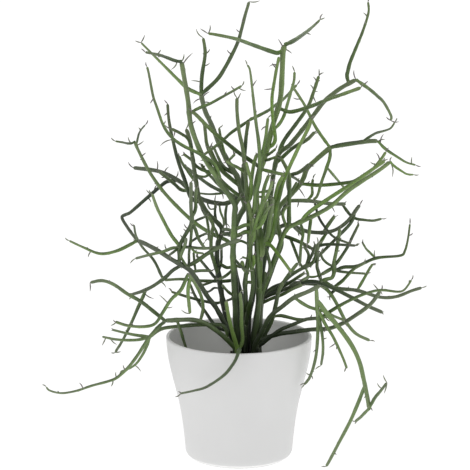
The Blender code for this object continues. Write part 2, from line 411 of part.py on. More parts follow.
        (-88, 263, -93, 266), (-85, 264, -82, 271), (-124, 314, -128, 318), (-93, 331, -91, 336),
        (-23, 254, -23, 261), (-19, 262, -16, 256),
    )),
    ("cane_right_back", 10, 0.98, (
        (4.6, 3.2, 0.95, (13, 114), (16, 132), (22, 172), (28, 207), (36, 224), (49, 231), (69, 224),
         (91, 224), (107, 233), (121, 251)),
        (3.8, 3.2, 1.0, (31, 214), (36, 240), (44, 253), (66, 255), (91, 252), (107, 251.5)),
        (3.0, 2.2, 0.9, (105, 251), (111, 241), (117, 237), (123, 236), (134, 235), (143, 237)),
        (3.0, 2.4, 0.8, (68, 255), (73, 261), (73, 269), (74, 277)),
        (3.2, 2.6, 0.7, (116, 243), (112, 233), (99, 219), (83, 203), (71, 190)),
        (3.6, 3.2, 0.95, (86, 224), (90, 232), (96, 240)),
        (3.6, 3.0, 0.75, (34, 223), (47, 219), (60, 214), (73, 207)),
        (2.6, 2.0, 0.5, (77, 254), (80, 238), (88, 226), (96, 218), (111, 212)),
        (3.0, 2.2, 0.6, (72, 208), (85, 211), (100, 211), (117, 210)),
        (3.4, 3.0, 1.05, (87, 224), (82, 214), (77, 203)),
        (3.0, 2.4, 0.6, (51, 216), (54, 210.5), (58, 200), (61, 192), (65, 187)),
        (2.6, 2.4, 0.9, (47, 253), (43.5, 245), (39, 239)),
        (3.0, 2.6, 0.6, (52, 231), (57, 226.5), (62, 222)),
    ), (
        (91, 251, 96, 243), (121, 250, 124, 256), (143, 237, 148, 238), (74, 276, 77, 282),
        (58, 255, 58, 248),
    )),
)


def stand():
    """The point that the view looks at, and the standpoint, in mm."""
    drop = VIEW_DISTANCE * math.cos(VIEW_PITCH) - VIEW_UP * math.sin(VIEW_PITCH)
    target = np.array((VIEW_ACROSS, 0.0, VIEW_UP * VIEW_DISTANCE / drop))
    return target, target - VIEW_DISTANCE * VIEW_FORWARD


VIEW_FORWARD = np.array((0.0, math.cos(VIEW_PITCH), -math.sin(VIEW_PITCH)))
VIEW_UPWARD = np.array((0.0, math.sin(VIEW_PITCH), math.cos(VIEW_PITCH)))
VIEW_TARGET, VIEW_STAND = stand()


def place(across, up, behind):
    """World points, in mm, that the view shows at (across, up) and that lie `behind` the pot's axis."""
    across, up, behind = (np.asarray(value, float)[..., None] for value in (across, up, behind))
    ray = (
        VIEW_DISTANCE * VIEW_FORWARD
        + (across - VIEW_ACROSS) * np.array((1.0, 0.0, 0.0))
        + (up + TABLE_BASE - VIEW_UP) * VIEW_UPWARD
    )
    return VIEW_STAND + ray * (behind - VIEW_STAND[1]) / ray[..., 1:2]


def seen(point):
    """(across, up) at which the view shows a world point in mm."""
    away = np.asarray(point, float) - VIEW_STAND
    scale = VIEW_DISTANCE / float(away @ VIEW_FORWARD)
    return VIEW_ACROSS + away[0] * scale, VIEW_UP - TABLE_BASE + float(away @ VIEW_UPWARD) * scale


def spread(across, up):
    """How far behind the axis a stem of lean 1 lies."""
    return SPREAD_AT_FOOT + SPREAD_SLOPE * np.hypot(across - CROWN_FOOT[0], up - CROWN_FOOT[1])


def through(points):
    """Close points on a Catmull-Rom curve through the given ones."""
    points = np.asarray(points, float)
    padded = np.vstack((2 * points[0] - points[1], points, 2 * points[-1] - points[-2]))
    fine = []
    for before, start, end, after in zip(padded, padded[1:], padded[2:], padded[3:]):
        for t in np.linspace(0, 1, CURVE_POINTS, endpoint=False):
            fine.append(
                0.5 * (2 * start + (end - before) * t
                       + (2 * before - 5 * start + 4 * end - after) * t**2
                       + (3 * start - before - 3 * end + after) * t**3)
            )
    return np.array(fine + [points[-1]])


def evenly(points, measured, step):
    """Points at even steps along a curve, with lengths taken on `measured`, and their places along it."""
    along = np.concatenate(([0], np.cumsum(np.linalg.norm(np.diff(measured, axis=0), axis=1))))
    count = max(3, round(along[-1] / step) + 1)
    wanted = np.linspace(0, along[-1], count)
    return np.column_stack([np.interp(wanted, along, column) for column in points.T]), wanted


class Stem:
    """One round stem: its samples as seen from the front, their depth and radius, and what it grows from."""

    def __init__(self, cane, wide, thin, lean, points, start_depth, parent):
        self.cane = cane
        self.parent = parent
        own_depth = len(points[-1]) == 3
        if own_depth:
            points = [(*points[0][:2], start_depth), *points[1:]]
        curve = through(points)
        path, self.along = evenly(curve, curve[:, :2], SAMPLE_STEP)
        part = self.along / self.along[-1]
        self.across, self.up = path[:, 0], path[:, 1]
        if own_depth:
            self.behind = path[:, 2]
        else:
            reach = spread(self.across, self.up)
            ease = part * part * (3 - 2 * part)
            self.behind = (start_depth / reach[0] * (1 - ease) + lean * ease) * reach
        self.radius = STEM_FULLNESS * (wide + (thin - wide) * part) / 2

    def points(self):
        return place(self.across, self.up, self.behind)


def nearest(stems, across, up):
    """The stem, and its sample, that the view shows nearest to (across, up)."""
    reach = [float(np.hypot(stem.across - across, stem.up - up).min()) for stem in stems]
    stem = stems[int(np.argmin(reach))]
    return stem, int(np.hypot(stem.across - across, stem.up - up).argmin())


def grow(number, foot_across, lean, shapes):
    """The stems of one cane, each starting on the stem that carries it."""
    foot = np.array((foot_across, lean * ROOT_SPREAD, SOIL_TOP + SOIL_MOUND))
    stems = []
    for wide, thin, tip_lean, *points in shapes:
        if stems:
            carrier, sample = nearest(stems, *points[0][:2])
            start = (carrier.across[sample], carrier.up[sample])
            depth = carrier.behind[sample]
            points = [start, *points[1:]]
            stems.append(Stem(number, wide, thin, tip_lean, points, depth, (carrier, sample)))
        else:
            stems.append(Stem(number, wide, thin, tip_lean, [seen(foot), *points], foot[1], None))
    return stems


def smoothed(offset, first):
    """The offsets of one stem, evened out along it, with its foot held at `first`."""
    padded = np.concatenate(([first], offset[1:], offset[-1:]))
    result = offset.copy()
    result[0] = first
    result[1:] = 0.25 * padded[:-2] + 0.5 * padded[1:-1] + 0.25 * padded[2:]
    return result


def clear_each_other(stems):
    """Bends stems that would touch apart in depth, which leaves the front view as it is."""
    sizes = [len(stem.behind) for stem in stems]
    starts = np.concatenate(([0], np.cumsum(sizes)))
    names = ("across", "up", "radius", "along")
    across, up, radius, along = (np.concatenate([getattr(stem, name) for stem in stems]) for name in names)
    own_depth = np.concatenate([stem.behind for stem in stems])
    which = np.repeat(np.arange(len(stems)), sizes)
    cane = np.array([stem.cane for stem in stems])[which]
    first, second = np.triu_indices(len(across), 1)
    apart = np.hypot(across[first] - across[second], up[first] - up[second])
    wanted = radius[first] + radius[second] + STEM_CLEARANCE
    young = np.minimum(along[first], along[second]) < JOINT_REACH
    keep = (apart < wanted) & (which[first] != which[second])
    keep &= (cane[first] != cane[second]) | ~young
    first, second, apart, wanted = first[keep], second[keep], apart[keep], wanted[keep]
    needed = np.sqrt(wanted**2 - apart**2)
    order = np.where(own_depth[second] >= own_depth[first], 1.0, -1.0)
    offset = np.zeros(len(across))
    for _ in range(CLEARING_ROUNDS):
        depth = own_depth + offset
        short = np.maximum(needed - order * (depth[second] - depth[first]), 0) / 2
        back, front = np.zeros(len(across)), np.zeros(len(across))
        np.maximum.at(back, np.where(order > 0, second, first), short)
        np.maximum.at(front, np.where(order > 0, first, second), short)
        offset += back - front
        for index, stem in enumerate(stems):
            part = slice(starts[index], starts[index + 1])
            held = 0.0
            if stem.parent:
                carrier, sample = stem.parent
                held = offset[starts[stems.index(carrier)] + sample]
            offset[part] = smoothed(offset[part], held)
    for index, stem in enumerate(stems):
        stem.behind = stem.behind + offset[starts[index]:starts[index + 1]]


def pot_radius(height):
    """The pot's outer radius at a height, on a smooth curve through the outline."""
    heights, radii = np.array(POT_OUTLINE[::-1]).T
    slopes = np.gradient(radii, heights)
    index = int(np.clip(np.searchsorted(heights, height) - 1, 0, len(heights) - 2))
    width = heights[index + 1] - heights[index]
    t = min(max((height - heights[index]) / width, 0.0), 1.0)
    return float(
        radii[index] * (1 + 2 * t) * (1 - t) ** 2
        + slopes[index] * width * t * (1 - t) ** 2
        + radii[index + 1] * t * t * (3 - 2 * t)
        + slopes[index + 1] * width * t * t * (t - 1)
    )


def leaf_lines(stems, leaves, chance):
    """The foot, in the middle of its stem, and the tip of each leaf, in mm."""
    lines = []
    for foot_across, foot_up, tip_across, tip_up in leaves:
        carrier, sample = nearest(stems, foot_across, foot_up)
        depth = carrier.behind[sample] + chance.uniform(-LEAF_SWAY, LEAF_SWAY)
        lines.append((carrier.points()[sample], place(tip_across, tip_up, depth)))
    return lines


def frames(path):
    """Two directions across a path at each of its points, which follow it without twisting."""
    ahead = np.gradient(path, axis=0)
    ahead /= np.linalg.norm(ahead, axis=1)[:, None]
    side = np.empty_like(ahead)
    start = np.cross(ahead[0], (0.1, 1.0, 0.2))
    side[0] = start / np.linalg.norm(start)
    for index in range(1, len(path)):
        across = side[index - 1] - ahead[index] * (side[index - 1] @ ahead[index])
        side[index] = across / np.linalg.norm(across)
    return side, np.cross(ahead, side)


def needed_points(points, radii):
    """Only the samples that the stem's bends need."""
    keep = {0, len(points) - 1}
    runs = [(0, len(points) - 1)]
    while runs:
        low, high = runs.pop()
        if high - low < 2:
            continue
        chord = points[high] - points[low]
        chord /= np.linalg.norm(chord)
        out = points[low + 1:high] - points[low]
        off = np.linalg.norm(out - np.outer(out @ chord, chord), axis=1)
        if off.max() > BEND_TOLERANCE:
            middle = low + 1 + int(off.argmax())
            keep.add(middle)
            runs += [(low, middle), (middle, high)]
    kept = sorted(keep)
    return points[kept], radii[kept]


def material(name, color, roughness):
    made = bpy.data.materials.new(name)
    made.use_nodes = True
    shader = made.node_tree.nodes["Principled BSDF"]
    shader.inputs["Base Color"].default_value = (*color, 1.0)
    shader.inputs["Roughness"].default_value = roughness
    return made


def new_collection(name):
    made = bpy.data.collections.new(name)
    bpy.context.scene.collection.children.link(made)
    return made


def tube(points, radii, group):
    """A closed flat-sided tube along the points, in mm, that is as wide on average as the round stem."""
    sides = TWIG_SIDES if 2 * radii.max() < TWIG_WIDTH else STEM_SIDES
    turn = np.arange(sides) * 2 * math.pi / sides
    side, up = frames(points)
    way = np.cos(turn)[:, None] * side[:, None] + np.sin(turn)[:, None] * up[:, None]
    reach = radii / math.cos(math.pi / 2 / sides)
    corners = points[:, None] + reach[:, None, None] * way
    faces = [tuple(range(sides)), tuple(range((len(points) - 1) * sides, len(points) * sides))]
    for ring in range(0, (len(points) - 1) * sides, sides):
        for corner in range(sides):
            after = (corner + 1) % sides
            faces.append((ring + corner, ring + after, ring + sides + after, ring + sides + corner))
    mesh = bpy.data.meshes.new("stem")
    mesh.from_pydata((corners.reshape(-1, 3) * MM).tolist(), [], faces)
    shape = bmesh.new()
    shape.from_mesh(mesh)
    bmesh.ops.recalc_face_normals(shape, faces=shape.faces)
    shape.to_mesh(mesh)
    shape.free()
    made = bpy.data.objects.new("stem", mesh)
    group.objects.link(made)
    return made


def stem_tube(stem, group):
    """The tube of a stem, with a post in the soil where it has no parent."""
    points, radii = needed_points(stem.points(), stem.radius)
    if stem.parent is None:
        below = points[0] - np.array((0, 0, ROOT_DEPTH))
        points = np.vstack((below, points))
        radii = np.append(radii[0], radii)
    return tube(points, radii, group)


def leaf(foot, tip, group):
    """A narrow pointed leaf from the middle of its stem to its tip, both in mm."""
    run = Vector((tip - foot) * MM)
    shape = bmesh.new()
    bmesh.ops.create_cone(shape, cap_ends=True, segments=LEAF_SIDES, radius1=0.5, radius2=0.0, depth=1.0)
    bmesh.ops.scale(shape, vec=(LEAF_WIDTH * MM, LEAF_THICKNESS * MM, run.length), verts=shape.verts)
    bmesh.ops.translate(shape, vec=(0, 0, run.length / 2), verts=shape.verts)
    bmesh.ops.transform(shape, matrix=run.to_track_quat("Z", "Y").to_matrix().to_4x4(), verts=shape.verts)
    bmesh.ops.translate(shape, vec=Vector(foot * MM), verts=shape.verts)
    mesh = bpy.data.meshes.new("leaf")
    shape.to_mesh(mesh)
    shape.free()
    made = bpy.data.objects.new("leaf", mesh)
    group.objects.link(made)
    return made


def joined(name, base, others, parts):
    """One closed mesh of the base and everything in the other collection, which is then emptied."""
    union = base.modifiers.new("Join", "BOOLEAN")
    union.operation = "UNION"
    union.operand_type = "COLLECTION"
    union.collection = others
    union.solver = "MANIFOLD"
    bpy.context.view_layer.update()
    graph = bpy.context.evaluated_depsgraph_get()
    mesh = bpy.data.meshes.new_from_object(base.evaluated_get(graph))
    mesh.name = name
    for used in [base, *others.objects]:
        bpy.data.objects.remove(used)
    made = bpy.data.objects.new(name, mesh)
    mesh.shade_smooth()
    mesh.set_sharp_from_angle(angle=math.radians(50))
    parts.objects.link(made)
    return made


def make_cane(name, stems, leaves, parts, chance):
    base_group = new_collection("base")
    others = new_collection("others")
    base = stem_tube(stems[0], base_group)
    for stem in stems[1:]:
        stem_tube(stem, others)
    for foot, tip in leaf_lines(stems, leaves, chance):
        leaf(foot, tip, others)
    made = joined(name, base, others, parts)
    bpy.data.collections.remove(base_group)
    bpy.data.collections.remove(others)
    made.data.materials.clear()
    made.data.materials.append(material(name, (0.16, 0.27, 0.07), 0.5))


def turned(name, profile, steps, parts):
    """A solid turned from (radius, height) points in mm that run down its outer side."""
    mesh = bpy.data.meshes.new(name)
    points = [(radius * MM, 0.0, height * MM) for radius, height in profile]
    edges = [(index, index + 1) for index in range(len(points) - 1)]
    mesh.from_pydata(points, edges, [])
    made = bpy.data.objects.new(name, mesh)
    parts.objects.link(made)
    screw = made.modifiers.new("Turn", "SCREW")
    screw.steps = steps
    screw.render_steps = steps
    screw.use_merge_vertices = True
    screw.merge_threshold = 0.00001
    screw.use_smooth_shade = True
    return made


def inner_wall():
    """(radius, height) points of the pot's inside, from the middle of its floor up to the rim."""
    heights = np.linspace(POT_FLOOR + INNER_CORNER, POT_HEIGHT - RIM_ROUNDING, INNER_RINGS)
    wall = [(pot_radius(height) - POT_WALL, float(height)) for height in heights]
    return [(0.0, POT_FLOOR), (wall[0][0] - INNER_CORNER, POT_FLOOR), *wall]


def make_pot(parts):
    outer_heights = np.linspace(POT_HEIGHT - RIM_ROUNDING, FOOT_ROUNDING, 9)
    rim = pot_radius(POT_HEIGHT) - POT_WALL / 2
    profile = inner_wall()
    for turn in (150, 90, 30):
        angle = math.radians(turn)
        height = POT_HEIGHT - RIM_ROUNDING * (1 - math.sin(angle))
        profile.append((rim + POT_WALL / 2 * math.cos(angle), height))
    profile += [(pot_radius(height), height) for height in outer_heights]
    foot = pot_radius(FOOT_ROUNDING) - FOOT_ROUNDING
    for turn in (22.5, 45, 67.5, 90):
        angle = math.radians(turn)
        profile.append((foot + FOOT_ROUNDING * math.cos(angle), FOOT_ROUNDING * (1 - math.sin(angle))))
    profile.append((0.0, 0.0))
    made = turned("pot", profile, POT_STEPS, parts)
    made.data.materials.append(material("pot", (0.78, 0.78, 0.77), 0.45))


def make_soil(parts, cutters, feet):
    """The soil, with a plain hole for the foot of each cane."""
    wall = [(max(radius - TOUCH_GAP, 0.0), height + TOUCH_GAP) for radius, height in inner_wall()]
    wall_radii, wall_heights = zip(*wall)
    edge = float(np.interp(SOIL_TOP, wall_heights, wall_radii))
    profile = [(0.0, SOIL_TOP + SOIL_MOUND)]
    profile += [
        (edge * share, SOIL_TOP + SOIL_MOUND * math.cos(share * math.pi / 2)) for share in (0.3, 0.6, 0.85)
    ]
    profile.append((edge, SOIL_TOP))
    profile += [(radius, height) for radius, height in wall[::-1] if height < SOIL_TOP]
    made = turned("soil", profile, POT_STEPS, parts)
    for point, radius in feet:
        depth = ROOT_DEPTH + SOIL_MOUND + HOLE_ABOVE_SOIL
        bpy.ops.mesh.primitive_cylinder_add(
            vertices=HOLE_SIDES,
            radius=(radius + HOLE_GAP) * MM,
            depth=depth * MM,
            location=tuple((point + np.array((0, 0, depth / 2 - ROOT_DEPTH - TOUCH_GAP))) * MM),
        )
        hole = bpy.context.object
        hole.name = "hole"
        for group in list(hole.users_collection):
            group.objects.unlink(hole)
        cutters.objects.link(hole)
        hole.hide_render = True
        hole.display_type = "WIRE"
    cut = made.modifiers.new("Holes", "BOOLEAN")
    cut.operation = "DIFFERENCE"
    cut.operand_type = "COLLECTION"
    cut.collection = cutters
    cut.solver = "EXACT"
    made.data.materials.append(material("soil", (0.05, 0.035, 0.025), 0.95))


def main():
    for item in list(bpy.data.objects):
        bpy.data.objects.remove(item)
    parts = new_collection("potted_pencil_cactus")
    cutters = new_collection("cutters")
    chance = random.Random(LEAF_SEED)
    grown = [grow(number, foot, lean, shapes) for number, (_, foot, lean, shapes, _) in enumerate(CANES)]
    clear_each_other([stem for stems in grown for stem in stems])
    for (name, _, _, _, leaves), stems in zip(CANES, grown):
        make_cane(name, stems, leaves, parts, chance)
    make_pot(parts)
    make_soil(parts, cutters, [(stems[0].points()[0], stems[0].radius[0]) for stems in grown])


main()
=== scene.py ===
"""The looks of a potted pencil cactus: waxy jointed stems with small leaves, a matte pot, and soil.

The canes are laid out as in the part's source: the same table, in millimetres as seen from the front, and the
same rules for depth. Each piece is a finer skin on the same lines. The scene's own units are metres, +Z up.
"""

import json
import math
import random

import bmesh
import bpy
import numpy as np
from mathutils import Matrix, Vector, noise

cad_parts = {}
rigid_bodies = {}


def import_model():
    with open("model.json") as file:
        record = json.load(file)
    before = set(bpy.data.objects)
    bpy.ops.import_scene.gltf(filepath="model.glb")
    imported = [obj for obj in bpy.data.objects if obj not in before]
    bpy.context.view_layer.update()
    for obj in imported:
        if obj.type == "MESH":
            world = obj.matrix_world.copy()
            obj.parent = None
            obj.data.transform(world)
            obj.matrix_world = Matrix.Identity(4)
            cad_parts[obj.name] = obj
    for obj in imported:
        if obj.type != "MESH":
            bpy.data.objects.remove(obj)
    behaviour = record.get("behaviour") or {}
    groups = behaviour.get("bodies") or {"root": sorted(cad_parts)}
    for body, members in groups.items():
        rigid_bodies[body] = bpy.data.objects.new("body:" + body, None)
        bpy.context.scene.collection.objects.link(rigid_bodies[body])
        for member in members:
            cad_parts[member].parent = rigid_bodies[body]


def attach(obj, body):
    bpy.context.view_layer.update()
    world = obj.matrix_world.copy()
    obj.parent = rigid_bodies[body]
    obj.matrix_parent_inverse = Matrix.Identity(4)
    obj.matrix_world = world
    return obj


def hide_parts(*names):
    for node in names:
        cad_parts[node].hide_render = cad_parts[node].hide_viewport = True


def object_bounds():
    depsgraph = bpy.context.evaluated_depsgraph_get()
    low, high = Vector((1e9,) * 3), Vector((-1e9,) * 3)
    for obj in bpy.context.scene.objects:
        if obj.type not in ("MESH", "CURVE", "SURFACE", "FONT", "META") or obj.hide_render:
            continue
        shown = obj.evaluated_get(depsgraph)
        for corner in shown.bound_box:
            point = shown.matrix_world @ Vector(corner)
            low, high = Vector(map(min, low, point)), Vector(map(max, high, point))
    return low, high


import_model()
CAD_BOX = [list(corner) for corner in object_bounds()]

MM = 0.001

# How finely the skins are made
MERGE_DISTANCE = 0.01
RING_STEP = 1.3
STEM_SIDES = 14
POT_STEPS = 160
SOIL_STEPS = 144
SOIL_RINGS = 56
SOIL_WALL_RINGS = 12

# The skin of a stem. A neck's place is counted in radii of the stem that carries it, and a tip's length in
# radii of the stem itself
NECK_PLACE = 1.5
NECK_DEPTH = 0.2
NECK_REACH = 2.4
FORK_SWELLING = 0.1
FORK_REACH = 2.6
WAVE_DEPTH = 0.035
WAVE_LENGTHS = (13.0, 31.0)
FOOT_SHARE = 0.8
TIP_LENGTH = 1.3
TIP_SMALLEST = 0.02
SCAR_STEPS = (8.0, 15.0)
SCAR_FREE_TIP = 2.0
SCAR_TURN = 2.4
SCAR_HEIGHT = 0.26
SCAR_LENGTH = 1.0
SCAR_WIDTH = 0.75
ANY_PHASE = (0.0, 6.0)

# Leaves. A blade's width follows a stretch of a sine's arch, made fuller, and a spread is how far a small
# leaf leans out for each step along the stem
BLADE_RINGS = 8
BLADE_SIDES = 6
BLADE_WIDTH = 1.35
BLADE_THICKNESS = 0.55
BLADE_BOW = 0.12
BLADE_ARCH = (0.16, 0.8)
BLADE_FULLNESS = 0.8
BARE_TIP = 9.0
TIP_LEAVES = 2
TIP_LEAF_PLACES = (0.8, 2.5)
TIP_LEAF_SPREADS = (0.5, 1.4)
TIP_LEAF_LENGTHS = (3.5, 7.0)
SIDE_LEAF_STEPS = (11.0, 24.0)
SIDE_LEAF_SPREADS = (1.0, 2.2)
SIDE_LEAF_LENGTHS = (2.5, 5.5)
SIDE_LEAF_CHANCE = 0.4
SIDE_LEAF_FREE_TIP = 4.0
YOUNG_SHARE = 0.45
LOOKS_SEED = 5

# What the skins keep clear of, and how they are shaded
BOX_MARGIN = 0.6
SMOOTH_ANGLE = math.radians(48)
MARKS = "marks"
VIVID = "vivid"
PAINTED_LIGHT_INSIDE = "inside"

# The pot and the soil
TOUCH_GAP = 0.3
POT_RINGS = 44
RIM_POINTS = 11
FOOT_POINTS = 13
SOIL_EDGE = 3.0
TOP_TOLERANCE = 0.1
CROWN_RISE = 15.0
CROWN_REACH = 20.0
# Height, size and depth in the noise
CLODS = (1.6, 7.0, 3.0)
GRIT = (0.7, 2.2, 9.0)
CRUMBS = 320
CRUMB_SIZES = (1.2, 4.2)
CRUMB_STRETCHES = ((0.7, 1.3), (0.7, 1.3), (0.5, 0.9))
CRUMB_ROUGHNESS = 0.5
CRUMB_LUMPS = 2.2
CRUMB_KINDS = 50.0
CRUMB_LIFT = 0.15

# The crown's painted shade, which darkens the stems' colour: how far it reaches from the crown's foot, and
# where towards the front it begins to end
OPEN_REACH = 118.0
FRONT_START = 14.0
FRONT_DEPTH = 30.0
SHADE_POWER = 1.5

# How bright and how vivid each cane's stems are, about which each stem varies, and how open its foot stands
# to the crown's painted shade. The brightness is partly each cane's own tone and partly painted shade: set
# brighter for the front canes and darker for some at the back.
# A stem is also painted lighter on one side and darker on the other, as a painted lit side and shaded side
BRIGHT_SWAY = 0.3
VIVID_SWAY = 0.28
PAINTED_SIDE_LIGHT = 0.24
CANE_TONES_AND_SHADE = {
    "cane_front": (0.9, 0.75, 1.0),
    "cane_hanging_right": (0.95, 0.3, 0.3),
    "cane_low_left": (0.75, 0.45, 0.7),
    "cane_far_left": (0.48, 0.3, 0.0),
    "cane_left": (0.5, 0.45, 0.1),
    "cane_low_right": (0.5, 0.45, 0.1),
    "cane_centre": (0.55, 0.75, 0.1),
    "cane_top": (0.55, 0.75, 0.0),
    "cane_left_back": (0.3, 0.45, 0.1),
    "cane_right_mid": (0.55, 0.6, 0.0),
    "cane_upper_right": (0.5, 0.65, 0.0),
    "cane_top_left": (0.5, 0.6, 0.0),
    "cane_right_low": (0.5, 0.5, 0.0),
    "cane_right": (0.5, 0.55, 0.0),
    "cane_mid_left": (0.45, 0.45, 0.0),
    "cane_right_back": (0.33, 0.45, 0.0),
}

# The stems that differ from the rest of their cane in tone and in painted shade, by their number in it
STEM_TONES_AND_SHADE = {
    ("cane_front", 2): (0.5, 0.5, 1.0),
    ("cane_hanging_right", 0): (0.35, 0.3, 0.1),
    ("cane_top", 18): (1.1, 0.25, 1.0),
}

# Colours
# The near black of the crown's painted shade
STEM_PAINTED_SHADE = (0.010, 0.015, 0.008)
STEM_DARK = (0.018, 0.032, 0.013)
STEM_GREEN = (0.12, 0.185, 0.056)
STEM_BRIGHT = (0.20, 0.29, 0.10)
STEM_YOUNG = (0.215, 0.24, 0.15)
STEM_SCAR = (0.22, 0.24, 0.15)
GREY_TINT = (1.0, 0.96, 1.25)
VIVID_TINT = (1.0, 1.22, 0.58)
LEAF_GREEN = (0.21, 0.24, 0.15)
LEAF_PURPLE = (0.19, 0.165, 0.165)
LEAF_DARK = (0.10, 0.11, 0.085)
LEAF_TIP_COLOUR = (0.30, 0.28, 0.26)
POT_WHITE = (0.735, 0.735, 0.732)
POT_GREY = (0.71, 0.71, 0.708)
POT_SPECK = (0.66, 0.66, 0.65)
# The pot's inside, painted lighter than its outside as painted light
POT_INSIDE_PAINTED_LIGHT = (0.92, 0.92, 0.91)
SOIL_DARK = (0.012, 0.009, 0.007)
SOIL_BROWN = (0.05, 0.034, 0.022)
SOIL_FIBRE = (0.13, 0.09, 0.055)

# How shiny the skins and the floor are
STEM_ROUGHNESS = (0.3, 0.46)
LEAF_ROUGHNESS = (0.5, 0.7)
POT_ROUGHNESS = (0.46, 0.56)
POT_SHINE = 0.3
SOIL_ROUGHNESS = (0.8, 0.98)
FLOOR_ROUGHNESS = 0.9

# The stage. Lamps are suns: name, strength, how wide they look in degrees, and the way their light goes
FLOOR_SIZE = 16.0
FLOOR_WHITE = (0.33, 0.33, 0.33)
FLOOR_SHADE = (0.31, 0.31, 0.31)
FLOOR_GLOW = 0.82
SKY_COLOUR = (1.0, 1.0, 1.0)
SKY_STRENGTH = 0.55
LAMPS = (
    ("left", 0.55, 60.0, (0.75, 0.35, -0.6)),
    ("right", 0.55, 60.0, (-0.75, 0.35, -0.6)),
)
SENSOR = 36.0
PICTURE_WIDTH = 470.0
FAR_END = 100.0

# Driving dimensions of the pot
POT_HEIGHT = 126.0
POT_WALL = 3.3
POT_FLOOR = 5.0
FOOT_ROUNDING = 9.0
RIM_ROUNDING = 1.3
INNER_CORNER = 7.0
# Height above the underside and outer radius, from the rim down to where the foot starts to round
POT_OUTLINE = (
    (124.7, 73.4),
    (115.0, 72.9),
    (101.5, 71.1),
    (92.0, 69.1),
    (82.0, 66.7),
    (72.0, 64.2),
    (60.0, 61.3),
    (47.0, 58.8),
    (32.0, 56.7),
    (20.0, 55.3),
    (FOOT_ROUNDING, 54.3),
)

# Driving dimensions of the soil and of the canes' feet
SOIL_TOP = 90.0
SOIL_MOUND = 3.0
ROOT_DEPTH = 26.0
ROOT_SPREAD = 19.0

# The crown opens from the soil like a shuttlecock: a stem of lean 1 lies this far behind the pot's axis
CROWN_FOOT = (6.0, 102.0)
SPREAD_AT_FOOT = 19.0
SPREAD_SLOPE = 0.43

# The standpoint that the stems' points are seen from
VIEW_DISTANCE = 3000.0
VIEW_PITCH = math.radians(12.8)
VIEW_ACROSS = -4.0
VIEW_UP = 220.0

# The height that the table's heights are counted from
TABLE_BASE = -0.65

# How much wider stems are than the table's widths, which leave out their soft edges
STEM_FULLNESS = 1.16

# How stems are sampled, and how far they keep from each other
CURVE_POINTS = 12
SAMPLE_STEP = 4.0
STEM_CLEARANCE = 1.3
JOINT_REACH = 14.0
CLEARING_ROUNDS = 160

LEAF_SWAY = 3.0
LEAF_SEED = 11

